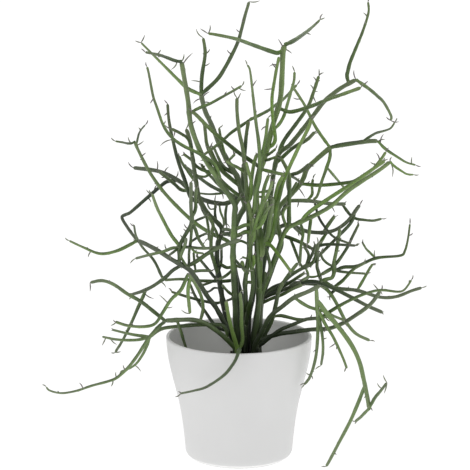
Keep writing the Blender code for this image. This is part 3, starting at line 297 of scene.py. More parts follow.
# Each cane: name, place of its foot, lean, stems and leaves.
# A stem is its width at the foot and at the tip, its tip's lean, and its points as seen from the front,
# in millimetres across from the pot's axis and up from its underside. A point with a third number states
# its own depth behind the axis. The first stem rises from the soil, and each later one grows from the
# stem nearest to its first point. A leaf is the point where it grows and its tip.
CANES = (
    ("cane_front", 0, -0.95, (
        (4.2, 3.0, -0.95, (-1, 103), (-4, 115), (-7.5, 127), (-10.5, 140), (-13, 155)),
        (3.4, 3.0, -0.75, (2, 103), (3.5, 115), (2.5, 131), (2.5, 147), (1, 163)),
        (3.2, 1.8, 0, (-1, 104, -22), (0, 106, -42), (1, 106.7, -62), (0, 104.8, -75), (-2.5, 98, -82),
         (-6, 91.5, -84), (-15, 80.5, -84), (-32, 69, -82), (-45, 65, -79), (-59, 62, -74)),
    ), (
        (-10, 142, -15, 145), (1, 162, 5, 166),
    )),
    ("cane_hanging_right", 12, -0.8, (
        (4.4, 3.6, -0.8, (15, 108), (22, 122), (31, 139), (43, 149), (55, 158), (69, 164), (81, 170)),
        (3.6, 2.4, -0.8, (79, 169), (78, 152), (79, 130), (77, 100), (71, 79), (65, 71)),
        (3.2, 2.2, -1.0, (79, 144), (83, 122), (84, 105), (82, 90)),
        (3.2, 2.2, -0.6, (79, 147), (86, 132), (94, 119), (103, 100), (108, 87)),
        (4.4, 3.6, -0.9, (79, 158), (88, 142), (96, 133), (111, 113), (120, 95), (125, 75), (129, 55),
         (130, 47)),
        (3.2, 2.4, -1.1, (130, 48), (136, 58), (141, 64), (148, 73)),
        (3.2, 2.2, -0.5, (54, 157), (64, 152), (72, 148), (86, 144), (94, 140), (106, 135)),
        (3.2, 2.4, -0.8, (130, 48), (125, 42), (121, 38), (116, 34)),
        (3.5, 2.6, 0, (126, 71, -56), (122, 60, -62), (118, 50, -68), (111, 34, -76), (101, 15, -86),
         (91, -4, -93), (87, -11, -95)),
    ), (
        (72, 80, 74, 76), (71, 83, 67, 83), (82, 90, 76, 86), (86, 130, 85, 123), (84, 117, 88, 118),
        (97, 112, 90, 108), (148, 73, 144, 81), (142, 67, 138, 73), (147, 72, 145, 62), (87, -10, 82, -11),
    )),
    ("cane_low_left", -5.5, -0.65, (
        (4.4, 3.8, -0.65, (-2.5, 104), (-6.5, 110), (-14, 118), (-24, 126), (-34, 132.5), (-44, 135.5),
         (-54, 136), (-74, 135)),
        (3.6, 2.8, -0.8, (-73, 135), (-84, 143), (-98, 154), (-112, 162), (-125, 171), (-137, 175),
         (-149, 173)),
        (3.5, 1.6, -0.6, (-73, 135), (-84, 125), (-92, 115), (-101, 101), (-111, 88), (-122, 78),
         (-132, 74), (-147, 70), (-162, 65), (-177, 62.5), (-189, 65), (-193, 69)),
        (3.2, 2.4, -0.5, (-61, 135), (-59, 127), (-56, 117), (-52.5, 106)),
        (3.2, 2.6, -0.85, (-37, 134), (-36, 147), (-38, 160), (-44, 172), (-51, 182)),
        (3.3, 2.4, -0.75, (-50, 181), (-58, 166), (-68, 156), (-77, 142), (-84, 132), (-95, 129),
         (-111, 130), (-124, 134)),
        (3.4, 3.0, -0.4, (-12, 117), (-12, 124), (-17, 130.5), (-30, 131), (-47, 130.5), (-69, 128.5),
         (-79, 126), (-89, 119)),
        (3.0, 2.0, -0.2, (-88, 119), (-103, 120.5), (-115, 123), (-127, 126)),
        (3.0, 2.0, -0.7, (-88, 119), (-100, 116), (-113, 115.5), (-125, 116.5), (-137, 119)),
        (2.8, 1.8, -0.3, (-88, 119), (-92, 110), (-97, 100), (-105, 90), (-119, 83.5)),
        (3.4, 2.8, -0.95, (-50, 180), (-51, 165), (-50, 152), (-49, 142)),
    ), (
        (-148, 173, -149, 164), (-124, 78, -123, 84), (-127, 75, -128, 69), (-158, 67, -160, 73),
        (-73, 148, -66, 149), (-130, 117, -122, 111), (-134, 119, -137, 110), (-104, 91, -98, 84),
        (-113, 86, -116, 91), (-53, 143, -58, 146), (-193, 68, -197, 71), (-73, 153, -80, 161),
    )),
    ("cane_far_left", -11, -0.45, (
        (4.6, 3.8, -0.5, (-3.5, 106), (-6, 117), (-14, 131.5), (-23, 148), (-32, 160), (-44, 179),
         (-51, 187), (-67, 196), (-81, 205), (-94, 212), (-102, 215)),
        (3.4, 1.8, -0.75, (-101, 214), (-109, 211), (-123, 204.5), (-139, 202), (-155, 208), (-170, 215)),
        (3.6, 3.0, -0.7, (-62, 191), (-59.5, 198), (-60, 207), (-57, 215), (-53, 222), (-49, 229),
         (-47, 236), (-48, 247), (-48, 274)),
        (3.4, 2.6, -0.9, (-60, 207), (-62, 213), (-68, 221), (-76, 236), (-82, 248), (-87, 262)),
        (3.5, 2.8, -0.35, (-57, 192.5), (-66, 185.5), (-74, 178), (-87, 169), (-98, 164), (-108, 161)),
        (3.4, 2.2, -0.2, (-94, 166), (-101, 148), (-108, 132), (-116, 116), (-124, 103)),
        (2.8, 1.8, -0.1, (-74, 177), (-85, 195), (-97, 209), (-103, 220), (-105, 231)),
        (3.0, 2.2, -0.85, (-60, 209), (-67, 207.5), (-76, 204), (-89, 201), (-104, 197)),
        (3.0, 2.4, -0.3, (-48, 183), (-39, 185), (-27, 185)),
        (3.8, 3.2, -0.75, (-53, 188), (-44, 193.5), (-30, 203), (-15, 210.5), (1, 216)),
        (3.2, 3.0, -0.6, (-60, 197), (-57, 204), (-54, 211), (-53, 218)),
        (2.5, 2.2, -0.8, (-60, 208), (-65, 204), (-70, 200.5)),
        (2.6, 2.4, -0.5, (-59, 199), (-55.5, 194), (-52, 189.5)),
        (3.2, 2.6, -0.8, (-47, 234), (-43.5, 226), (-41, 218), (-37.5, 212), (-34, 207)),
        (2.8, 2.2, -0.4, (-47, 234), (-47.5, 226), (-48.5, 213), (-50, 203), (-50, 194), (-51, 189)),
        (2.4, 2.2, -0.3, (-45, 184), (-44.5, 192), (-45.5, 204)),
        (2.8, 2.4, -0.6, (-60, 208), (-50, 208.5), (-40, 207.5), (-30, 207.5), (-22, 209)),
        (2.2, 1.8, -0.55, (-50, 208.5), (-43.6, 203.5), (-35, 202.3)),
        (2.4, 2.2, -0.3, (-48.5, 214), (-43.5, 217), (-39, 219.5), (-32, 222.5)),
        (3.2, 2.8, -0.5, (-46, 238), (-43.5, 247), (-43.5, 258), (-42.5, 268)),
    ), (
        (-148, 205, -151, 198), (-104, 197, -109, 192), (-79, 215, -80, 209), (-73, 206, -74, 212),
        (-124, 103, -128, 103), (-123, 104, -118, 104), (-80, 173, -73, 168), (-170, 215, -174, 218),
        (-87, 261, -90, 266), (-48, 273, -45, 278), (-95, 162, -85, 157), (-51, 227, -55, 232),
        (-52, 224, -56, 227), (-56, 217, -59, 221), (-37, 211, -34, 213.5),
    )),
    ("cane_left", -2, -0.3, (
        (5.6, 4.0, -0.45, (-0.5, 104), (-1.5, 117), (-3, 131), (-3.5, 148), (-4.8, 170), (-5.7, 190),
         (-6, 204), (-5.5, 215), (-4.5, 240), (-4, 250), (-9.5, 260), (-17, 270), (-26, 284), (-33, 295),
         (-39, 305), (-48, 330), (-51, 355), (-56, 385), (-57.5, 394)),
        (3.4, 2.0, -0.8, (-57.5, 393), (-64, 395), (-72, 398), (-81, 401), (-94, 403.5)),
        (3.0, 2.0, -0.1, (-49, 343), (-39, 348), (-29, 352), (-19, 357.5), (-9, 363), (3, 370)),
        (3.0, 2.4, -0.6, (-5, 186), (-13, 180), (-21, 176)),
        (3.0, 2.2, -0.6, (-4, 158), (-11, 164), (-17, 171)),
        (3.4, 2.0, -0.7, (-16, 270), (-24, 290), (-38, 301), (-56, 310), (-68, 319), (-76, 331), (-82, 348),
         (-86, 360), (-90, 381), (-92, 389)),
        (2.6, 2.2, -0.6, (-4.5, 198), (0, 191.5), (5, 187.3), (11, 184)),
        (4.0, 3.6, -0.2, (-4, 219), (-9, 221.5), (-17, 221.5)),
        (3.2, 2.8, -0.1, (-4, 224), (-10, 226), (-17, 226)),
        (3.6, 3.2, -0.2, (-4, 246), (-2, 253), (2, 259)),
    ), (
        (-57, 394, -55, 402), (-55, 390, -46, 403), (-60, 393, -68, 386), (-94, 403, -98, 407),
        (-80, 400, -78, 406), (-5, 365, -8, 370), (3, 370, 5, 375), (1, 368, 7, 365), (-86, 356, -89, 352),
        (-92, 388, -93, 394), (-48, 332, -43, 335),
    )),
    ("cane_low_right", 17.5, -0.25, (
        (4.2, 3.4, -0.25, (18, 105), (18, 112), (24, 116.5), (39, 121.5), (53, 123.5), (71, 126), (89, 127),
         (103, 132), (116, 140), (131, 151), (141, 164)),
        (3.4, 3.0, -0.5, (19, 108), (29, 116.5), (39, 124.5), (46, 128), (56, 132), (68, 136.5), (81, 137.5)),
        (3.4, 1.7, -0.6, (80, 137.5), (94, 146), (109, 154.5), (125, 161.5), (141, 165.5), (161, 164),
         (168, 169), (172.5, 176)),
    ), (
        (141, 165, 134, 172), (144, 165, 143, 171), (172, 175, 174, 181), (104, 133, 108, 129),
    )),
    ("cane_centre", 5, -0.15, (
        (4.6, 3.0, -0.2, (5.5, 108), (6.3, 135), (6.5, 160), (6, 172), (8, 188), (10, 202), (10, 215),
         (9.3, 242), (8, 260), (7, 275), (4, 305), (0, 325), (-2, 345), (-2, 358)),
        (4.0, 3.6, -0.3, (6, 130), (10, 148), (14, 168), (13.5, 182), (11.5, 200), (12, 216), (13, 230),
         (12, 241), (9, 254)),
        (4.4, 1.8, -0.35, (12, 238), (15.5, 248), (17, 262), (21, 282), (20, 310), (17, 333), (14, 360),
         (11, 385), (8, 391)),
        (3.4, 3.0, -0.05, (5, 294), (6.3, 308), (7.2, 320), (9.5, 335)),
        (3.0, 2.4, 0.1, (10, 334), (1, 329), (-5, 325), (-9, 322), (-15, 316.5), (-26, 307.5), (-35, 301)),
        (3.0, 2.4, 0.65, (10, 334), (29, 345), (37, 351), (44, 356), (58, 371)),
        (3.4, 2.6, -0.1, (22, 292), (26, 314), (28, 330), (29, 338)),
        (3.4, 2.6, -0.4, (9, 252), (12, 260), (12.5, 268), (12, 275), (9, 286), (7, 294)),
        (3.0, 2.4, -0.4, (7, 284), (-1, 288), (-7, 291), (-13, 295)),
        (3.2, 2.8, -0.6, (12, 220), (17, 233), (21, 243), (25, 253), (30, 264), (33.5, 275)),
        (2.8, 2.4, -0.6, (15, 229), (20, 232), (25, 240), (31, 250)),
        (1.8, 1.6, -0.1, (12, 199), (7, 197.5), (3, 199)),
        (3.6, 3.0, -0.1, (12, 232), (6, 230.5), (-2, 227), (-8, 225)),
        (4.0, 3.6, 0.0, (12, 223.5), (7, 224), (1, 221), (-6, 218.5)),
        (3.4, 3.0, -0.3, (21, 243), (23.5, 254), (24.5, 264), (26.5, 272), (30, 281)),
        (3.6, 3.0, 0.0, (9, 256), (11.5, 268), (13, 280), (15, 292), (18, 302)),
        (3.2, 3.0, 0.1, (7, 258), (4, 268), (3.5, 280), (4, 290)),
        (3.0, 2.6, -0.5, (20, 234), (24, 245), (27, 256)),
        (4.0, 3.4, -0.2, (6, 182), (4, 188), (3, 195)),
        (3.4, 3.2, -0.3, (12, 210), (15, 217), (15, 226), (14.5, 238)),
        (3.6, 3.2, -0.45, (14, 226), (21, 230), (25, 237), (27.5, 246), (27.5, 255)),
        (3.4, 3.2, -0.2, (6, 173), (9.5, 173.5), (13, 173)),
        (3.0, 2.8, -0.3, (13, 186), (14.7, 192), (14.7, 201)),
    ), (
        (-2, 357, -5, 366), (-2, 356, 2, 363), (14, 370, 18, 376), (19, 354, 18, 343), (26, 331, 22, 325),
        (58, 370, 61, 376), (8, 390, 6, 396), (29, 337, 33, 342),
    )),
    ("cane_top", 12, -0.05, (
        (5.2, 4.6, 0.15, (15, 104), (14.5, 117), (17, 131), (19, 148), (20, 165), (21, 215), (18.5, 245),
         (17, 265), (19, 280), (23, 291), (28, 307), (34, 331), (41, 355), (43, 380), (44, 403), (46, 411)),
        (4.2, 2.4, -0.6, (45, 406), (40, 403), (33, 404), (13, 411), (-4, 417), (-26, 421.5), (-31, 422)),
        (4.5, 1.8, -0.5, (46, 410), (53, 414), (61, 419), (69, 425), (76, 431), (81, 436)),
        (3.6, 3.0, -0.6, (40, 346), (49, 344), (56, 344.5), (71, 349), (91, 357), (101, 360.5), (122, 368)),
        (3.4, 2.6, -0.3, (28, 307), (36, 315), (34, 335), (33, 357), (36, 378), (38, 389), (40, 399)),
        (3.8, 3.2, -0.5, (22, 286), (16, 292), (1, 302), (-9, 310), (-27, 325), (-42, 340), (-47, 344)),
        (3.6, 3.0, -0.3, (22, 286), (36, 283), (46, 281)),
        (3.2, 2.4, 0.6, (35, 326), (40.5, 332), (45, 340), (48, 350), (52, 364), (55, 375), (55.5, 384)),
        (3.2, 2.6, -0.5, (21, 216), (31, 211), (41, 199), (52, 184)),
        (4.0, 3.0, -0.5, (22, 208), (29.5, 213), (33.5, 221), (36, 235), (38, 250), (41, 262), (44, 273),
         (48, 283), (52, 292), (60, 309), (70, 329), (72, 337)),
        (4.0, 3.4, -0.2, (18, 165), (18.5, 190), (17.5, 205), (17.5, 225), (18, 240), (16, 256)),
        (2.8, 2.4, -0.1, (24, 293), (31, 296.5), (38, 299)),
        (2.6, 2.4, 0.0, (27, 299), (32, 303), (37, 307)),
        (2.6, 2.4, 0.2, (20, 265), (26, 264), (33, 266)),
        (2.6, 2.2, 0.25, (20, 260), (29, 258), (39, 257)),
        (3.4, 3.0, 0.0, (22, 211), (26.5, 206.5), (29, 199), (31, 190), (30, 182)),
        (3.4, 3.0, -0.3, (37, 238), (35.5, 250), (37, 262), (40, 273), (45, 281)),
        (3.4, 3.0, -0.1, (36, 250), (36.5, 258), (38.5, 266), (41.5, 274), (46, 281)),
        (4.2, 3.8, -0.2, (25, 207), (28.5, 221), (30.5, 234), (32.5, 247), (34, 258)),
        (4.6, 4.0, -0.55, (21, 231), (22, 222), (23, 212), (23.7, 204), (22, 198)),
        (4.0, 3.6, 0.0, (20, 165), (25, 174), (26.5, 184)),
    ), (
        (-31, 422, -39, 427), (-29, 422, -29, 431), (81, 436, 84, 442), (81, 435, 86, 438),
        (65, 422, 72, 421), (45, 407, 39, 417), (46, 406, 53, 402), (38, 393, 30, 389), (36, 386, 33, 393),
        (33, 366, 25, 366), (56, 383, 53, 390), (122, 368, 125, 373), (72, 336, 76, 340),
        (-47, 344, -51, 347),
    )),
    ("cane_left_back", -9, 0.15, (
        (5.2, 3.4, 0.2, (-3.5, 104), (-6, 115), (-11.5, 131.5), (-15, 148), (-18, 165), (-22, 193),
         (-21, 212), (-17, 227), (-29, 240), (-39, 255), (-43, 275), (-46, 295), (-49, 315), (-53, 327)),
        (3.8, 2.6, 0.6, (-39, 252), (-48, 258), (-54, 275), (-61, 295), (-66.5, 317), (-70, 335),
         (-71.5, 352)),
        (3.0, 2.6, 0.0, (-46, 298), (-50, 315), (-58, 322), (-68, 327)),
        (3.0, 2.4, 0.5, (-43, 274), (-50, 283), (-57, 293), (-60, 300)),
        (3.0, 2.2, 0.0, (-17, 154), (-22, 152.5), (-30, 153.5), (-45, 157), (-57, 160.5), (-68, 164)),
        (3.2, 2.6, 0.25, (-22, 194), (-12, 188), (-4, 190), (3, 188)),
        (3.0, 2.2, 0.4, (-20, 176), (-25, 179), (-29, 184), (-33.5, 189.5), (-39, 196), (-43, 200.5)),
        (3.2, 2.4, 0.5, (-12, 124), (-22, 128.5), (-27, 134), (-33, 143), (-40, 153), (-45, 162), (-49, 172)),
        (3.4, 3.2, 0.0, (-21, 178), (-24.5, 192), (-27.5, 203), (-28, 214), (-27, 224), (-26, 231),
         (-31, 240)),
        (2.8, 2.2, 0.3, (-20, 230), (-23, 236), (-24, 243), (-23.5, 252)),
        (2.6, 2.4, 0.5, (-37, 251), (-33, 241), (-31.5, 233), (-30.4, 226), (-30, 215)),
        (2.6, 2.4, 0.5, (-20, 182), (-17.8, 194), (-17.6, 201), (-17.5, 210)),
        (2.2, 1.8, 0.5, (-18, 167), (-24, 168), (-28, 165.3), (-32, 164), (-37, 168.5)),
        (2.6, 2.2, 0.1, (-20, 177), (-25, 175), (-30, 172.8), (-37.5, 170)),
        (2.4, 2.2, 0.2, (-17, 153), (-12, 155), (-6, 157.5)),
        (3.0, 2.6, 0.1, (-19, 215), (-22, 222), (-25.5, 229)),
        (2.8, 2.4, 0.3, (-39, 254), (-37, 247), (-33, 239)),
    ), (
        (-72, 350, -75, 356), (-71, 345, -75, 340), (-64, 325, -65, 319), (-69, 326, -74, 331),
        (-69, 314, -79, 309.5), (-53, 326, -51, 333),
    )),
    ("cane_right_mid", 20, 0.22, (
        (4.6, 3.4, -0.1, (19, 106), (20.5, 118), (20.5, 130), (21, 145), (22.5, 160), (26.3, 172),
         (31, 184.5), (35.5, 197), (40, 209), (44, 220), (49, 228), (55, 231), (71, 238), (91, 249),
         (107, 263), (121, 273), (141, 286), (151, 294)),
        (4.2, 3.4, 0.0, (20, 112), (26, 122), (32.5, 135), (36.8, 151), (39.5, 164), (44, 174)),
        (2.6, 1.5, -0.2, (150, 293), (156, 289), (162, 285), (168, 281.5), (175, 281)),
        (3.8, 3.2, 0.12, (60, 233), (71, 244), (91, 258), (113, 272), (133, 286), (146, 295)),
        (4.2, 3.0, 0.3, (49, 228), (50, 240), (50, 256), (50, 280), (42, 298)),
        (3.0, 2.4, -0.1, (62, 234), (64, 222), (62, 210), (61, 192)),
        (3.4, 3.0, 0.0, (42, 170), (46.5, 176.5), (52, 184), (59, 193)),
        (3.4, 2.6, -0.4, (71, 238), (71, 230), (70, 222), (69, 212)),
        (3.2, 2.4, 0.1, (34, 140), (42, 140), (51, 138), (61, 136), (76, 137), (89, 139)),
        (3.0, 2.4, 0.0, (48, 227), (45.5, 234), (43.7, 240), (45, 245.5), (49, 250.5)),
    ), (
        (151, 293, 153, 278), (175, 281, 180, 281), (150, 293, 153, 299), (42, 297, 38, 302),
        (70, 239, 69, 246),
    )),
    ("cane_upper_right", 7, 0.38, (
        (4.8, 3.8, 0.4, (9, 112), (10, 140), (13, 155), (16, 177), (24, 215), (31, 255), (35, 285),
         (40, 302), (50, 310), (57, 318), (65, 328), (75, 341), (86, 355), (101, 367), (117, 376)),
        (3.8, 2.0, 0.8, (109.5, 372), (108, 379), (109, 385), (111, 393), (115, 403), (120, 415),
         (124, 425), (129.5, 443), (129, 454)),
        (3.5, 2.2, -0.2, (116, 375), (131, 366), (139, 359), (145, 353), (152, 340), (152, 335)),
        (3.8, 3.0, 0.75, (38, 300), (45, 315), (58, 333), (69, 349), (75, 365), (80, 380)),
        (3.5, 3.2, 0.1, (36, 292), (53, 307), (68, 316), (76, 324)),
    ), (
        (80, 379, 80, 387), (80, 378, 85, 383), (78, 374, 74, 379), (75, 366, 71, 371), (73, 360, 77, 353),
        (152, 336, 147, 339), (152, 335, 160, 334), (125, 370, 129, 375), (117, 375, 115, 386),
        (129, 453, 131, 458), (128, 439, 124, 443),
    )),
    ("cane_top_left", -2, 0.52, (
        (5.4, 4.2, 0.45, (0, 106), (-1.5, 120), (-2.5, 155), (-3.5, 172), (-5.5, 190), (-6, 204), (-5, 216),
         (-3, 231), (1.5, 241), (5.7, 249.5), (3, 259), (-1, 277), (-11, 294), (-19, 310), (-28, 332),
         (-34, 345), (-38, 361)),
        (3.8, 1.8, 0.9, (-38, 360), (-51, 367), (-61, 376), (-71, 386), (-86, 401), (-98, 413)),
        (3.9, 2.8, 0.3, (-38, 360), (-37, 380), (-34, 400), (-34.5, 410), (-36, 418)),
        (3.9, 2.8, 0.75, (-38, 360), (-22, 376), (-14, 388), (-7, 401), (-1, 414), (3, 428), (6, 440),
         (9, 450), (10, 454)),
        (3.8, 3.0, 0.8, (-2, 279), (-21, 292), (-27.5, 300), (-32, 311), (-33.5, 322), (-34.5, 332)),
        (2.6, 2.2, 0.2, (-13, 299), (-17, 312), (-20, 328)),
        (3.5, 2.8, 0.15, (3, 258), (-7, 265.5), (-14, 271.5), (-19, 277), (-26, 286.5), (-34, 295)),
        (3.0, 2.4, 0.2, (-24, 284), (-31, 284), (-38, 286.5), (-43, 290), (-48, 296), (-56, 302)),
        (2.4, 2.0, 0.2, (-26, 282), (-34, 279), (-42, 280)),
        (3.0, 2.4, 0.6, (-4, 279), (-12, 286), (-18, 293), (-22, 301), (-25, 308)),
        (2.6, 2.4, 0.3, (-11, 294), (-7.5, 298), (-4, 301.5)),
        (2.4, 2.0, 0.3, (-4, 211), (2, 214.8), (8, 212), (14, 211), (20, 211)),
        (4.2, 3.2, 0.5, (0, 268), (-8, 277), (-16, 284), (-22, 292), (-27, 302), (-30, 309)),
        (3.0, 2.6, 0.4, (-24, 283), (-31, 290), (-36, 299), (-40, 308)),
    ), (
        (-98, 413, -104, 415), (-97, 412, -94, 421), (-36, 417, -43, 427), (-37, 372, -48, 375),
        (-34, 389, -29, 393), (-33, 403, -29, 407), (10, 453, 21, 455), (1, 424, -3, 427),
        (-8, 401, -12, 406), (-35, 358, -29, 364), (-33, 354, -27, 352), (-38, 357, -46, 352),
        (-20, 327, -16, 331),
    )),
    ("cane_right_low", 14, 0.62, (
        (4.4, 2.8, 0.6, (17.5, 109), (19, 127), (21, 152), (30, 165), (46, 172), (71, 172), (86, 170),
         (101, 167), (119, 165), (141, 158.5), (157, 159), (173, 165), (183, 168)),
        (3.6, 3.2, 0.75, (80, 172), (86, 176), (93, 178), (95, 184), (95, 193), (98, 208), (101, 227)),
        (3.5, 1.7, 0.45, (95, 185), (105, 188.5), (118, 189.5), (137, 197.5), (161, 200), (166, 205),
         (169, 217), (171, 232)),
        (2.5, 1.8, 0.9, (136, 197), (131, 203), (127, 207), (123, 214)),
        (2.6, 2.0, 0.75, (96, 186), (111, 183), (127, 182)),
        (3.0, 2.4, 0.85, (118, 165), (125, 177), (130, 186), (134, 192)),
        (3.4, 2.6, 0.3, (96, 168), (103, 174.5), (110, 182), (116, 187.5), (126, 193)),
        (3.8, 3.2, 0.3, (60, 173), (75, 174), (89, 170), (111, 159), (128, 150), (144, 143)),
        (3.4, 2.8, 0.4, (80, 171), (88, 166), (96, 155), (107, 134), (117, 122), (131, 115)),
        (3.6, 3.0, 0.4, (28, 161), (35.5, 165), (41, 170), (47, 176), (55, 182.5), (77, 195)),
        (3.2, 2.4, 0.85, (96, 190), (102, 198.5), (109, 209.5), (113, 218), (120, 232)),
        (3.0, 2.6, 0.3, (67, 189), (69.5, 197), (69, 203), (65, 209)),
        (3.2, 2.6, 0.2, (67, 188), (72, 191), (76, 198), (78, 206), (79, 213)),
        (3.0, 2.6, 0.5, (68, 189), (71, 197), (75, 206), (76.5, 212)),
        (2.6, 2.4, 0.3, (67, 188), (68.5, 183), (69, 179), (62, 175)),
        (3.4, 2.8, 0.35, (82, 172), (80, 182), (78, 189), (78.5, 197), (79, 205)),
        (3.8, 3.0, 0.4, (95, 189), (89, 185), (82, 181)),
        (2.6, 2.2, 0.6, (94, 189), (88, 192.5), (83, 198), (82, 204)),
        (2.2, 2.0, 0.6, (80, 179), (75, 178.7), (69, 179)),
        (2.6, 2.2, 0.5, (84, 175), (91, 171), (96, 168)),
        (3.0, 2.6, 0.7, (97, 167), (93, 163), (91, 159)),
        (3.2, 2.8, 0.1, (36, 165), (42, 168), (48, 171.5), (56, 176.5), (66, 183)),
        (3.2, 2.8, 0.0, (21, 152), (30, 156), (38, 159), (46, 162.5), (54, 167), (64, 171)),
        (3.6, 3.0, 0.05, (22, 154), (29, 160), (36, 162.5), (45, 166), (53, 169.5), (62, 173.5)),
    ), (
        (171, 221, 174, 223), (136, 197, 136, 206), (125, 209, 124, 217), (171, 231, 171, 238),
        (183, 168, 188, 170), (127, 182, 132, 183), (131, 115, 136, 114), (101, 226, 103, 232),
    )),
    ("cane_right", 21, 0.78, (
        (4.8, 4.4, 0.75, (20, 110), (21, 130), (22, 150), (25, 164), (29, 175.5), (33, 187), (37.3, 198),
         (41.8, 210), (41.5, 219), (38.5, 230), (38, 241), (41, 249.5), (46.5, 255.5), (53, 262.5),
         (59.5, 269.5), (64.5, 277.5), (68, 287), (76, 295), (84, 302), (91, 308)),
        (4.4, 3.8, 0.85, (90, 307), (99, 310), (115, 312.5), (131, 314.5), (139, 314.5)),
        (3.0, 1.5, 0.4, (124, 314), (131, 319), (137, 322.5), (151, 327), (156, 334)),
        (3.2, 1.7, 0.95, (138, 314), (143, 310), (148, 305.5), (161, 297), (168, 293), (177, 290.5)),
        (3.2, 2.4, 0.95, (90, 307), (77, 328), (67, 348), (61, 358), (55, 367)),
        (3.4, 2.4, 0.5, (92, 308), (91, 299), (88, 289), (82, 272), (79.5, 263), (77.5, 258.5), (74, 256)),
        (2.6, 2.0, 0.9, (88, 288), (94, 281), (100, 274), (106, 267)),
        (3.5, 2.6, 0.35, (60, 271), (66, 271.5), (83, 270.5), (111, 273.5), (121, 278), (132, 285),
         (141, 295), (147, 304)),
        (3.6, 3.4, 0.6, (50, 262), (49, 272), (51, 280), (58, 282.5), (64, 286), (71, 292)),
        (2.6, 2.2, 0.4, (51, 280), (56, 277.5), (61, 273.5)),
        (2.6, 2.4, 0.7, (46, 255), (51.5, 263), (55, 268.5), (58, 274)),
    ), (
        (172, 293, 173, 299), (141, 313, 145, 322), (140, 314, 146, 316), (156, 333, 158, 338),
        (55, 366, 52, 372), (61, 358, 54, 358), (140, 295, 137, 303), (138, 291, 131, 294),
        (177, 290, 182, 289), (147, 303, 150, 308), (106, 267, 110, 265), (57, 268, 66, 258),
        (64, 273, 71, 275),
    )),
    ("cane_mid_left", 4, 0.85, (
        (4.8, 3.6, 0.85, (4, 114), (3, 152), (-2.5, 178), (-5.5, 196), (-5.5, 214), (-3, 230), (1.5, 242),
         (5.5, 250), (5, 258), (0, 259.5), (-8, 254), (-17, 252), (-33, 255), (-47, 263), (-59, 274),
         (-79, 284), (-106, 288)),
        (3.8, 2.8, 0.6, (-3, 206), (-12, 215), (-29, 223), (-48, 236), (-73, 261), (-89, 283), (-101, 306),
         (-104, 314)),
        (2.5, 1.6, 0.3, (-104, 313), (-109, 312), (-115, 313), (-124, 314.5)),
        (2.3, 1.4, 0.9, (-103, 312), (-100, 322), (-97, 327), (-93.5, 331)),
        (3.4, 2.8, 0.6, (-49, 264), (-58, 266), (-65, 272), (-81, 285)),
        (3.5, 2.8, 0.95, (-62, 275), (-72, 274), (-80, 268), (-94, 256), (-109, 243), (-117, 239),
         (-112, 229), (-102, 215)),
        (3.0, 2.2, 0.8, (-13.5, 251), (-13.5, 242), (-13, 230)),
        (3.4, 3.0, 0.95, (0, 259.5), (-10, 261.5), (-22, 266.5), (-30, 271), (-37, 276), (-46, 283),
         (-54, 289)),
        (3.2, 2.4, 0.7, (2, 178), (-15, 174.5), (-40, 175), (-58, 176.5), (-75, 175.5)),
        (3.0, 2.6, 0.3, (-6, 262), (-15, 266), (-21, 271.5), (-27, 278), (-33, 284), (-38, 292)),
        (2.6, 2.2, 0.7, (-44, 233), (-39.8, 236.5), (-32, 239.5)),
        (2.2, 1.6, 0.9, (-14, 263), (-20, 262), (-30, 261.5), (-41, 262.5)),
        (1.6, 1.4, 0.6, (-33, 255), (-31, 250), (-28.5, 246.5), (-24, 247)),
        (2.2, 1.8, 0.7, (-19, 251), (-18.3, 243), (-15.8, 237), (-15, 229)),
    ), (
        (-106, 313, -111, 319), (-102, 310, -95, 315), (-98, 300, -93, 303), (-106, 288, -111, 294),
        (-82, 284, -82, 295), (-76, 283, -70, 289), (-63, 276, -61, 285), (-92, 257, -88, 253),
        (-88, 263, -93, 266), (-85, 264, -82, 271), (-124, 314, -128, 318), (-93, 331, -91, 336),
        (-23, 254, -23, 261), (-19, 262, -16, 256),
    )),
    ("cane_right_back", 10, 0.98, (
        (4.6, 3.2, 0.95, (13, 114), (16, 132), (22, 172), (28, 207), (36, 224), (49, 231), (69, 224),
         (91, 224), (107, 233), (121, 251)),
        (3.8, 3.2, 1.0, (31, 214), (36, 240), (44, 253), (66, 255), (91, 252), (107, 251.5)),
        (3.0, 2.2, 0.9, (105, 251), (111, 241), (117, 237), (123, 236), (134, 235), (143, 237)),
        (3.0, 2.4, 0.8, (68, 255), (73, 261), (73, 269), (74, 277)),
        (3.2, 2.6, 0.7, (116, 243), (112, 233), (99, 219), (83, 203), (71, 190)),
        (3.6, 3.2, 0.95, (86, 224), (90, 232), (96, 240)),
        (3.6, 3.0, 0.75, (34, 223), (47, 219), (60, 214), (73, 207)),
        (2.6, 2.0, 0.5, (77, 254), (80, 238), (88, 226), (96, 218), (111, 212)),
        (3.0, 2.2, 0.6, (72, 208), (85, 211), (100, 211), (117, 210)),
        (3.4, 3.0, 1.05, (87, 224), (82, 214), (77, 203)),
        (3.0, 2.4, 0.6, (51, 216), (54, 210.5), (58, 200), (61, 192), (65, 187)),
        (2.6, 2.4, 0.9, (47, 253), (43.5, 245), (39, 239)),
        (3.0, 2.6, 0.6, (52, 231), (57, 226.5), (62, 222)),
    ), (
        (91, 251, 96, 243), (121, 250, 124, 256), (143, 237, 148, 238), (74, 276, 77, 282),
        (58, 255, 58, 248),
    )),
)


def stand():
    """The standpoint of the view, in mm."""
    drop = VIEW_DISTANCE * math.cos(VIEW_PITCH) - VIEW_UP * math.sin(VIEW_PITCH)
    target = np.array((VIEW_ACROSS, 0.0, VIEW_UP * VIEW_DISTANCE / drop))
    return target - VIEW_DISTANCE * VIEW_FORWARD


VIEW_FORWARD = np.array((0.0, math.cos(VIEW_PITCH), -math.sin(VIEW_PITCH)))
VIEW_UPWARD = np.array((0.0, math.sin(VIEW_PITCH), math.cos(VIEW_PITCH)))
VIEW_STAND = stand()


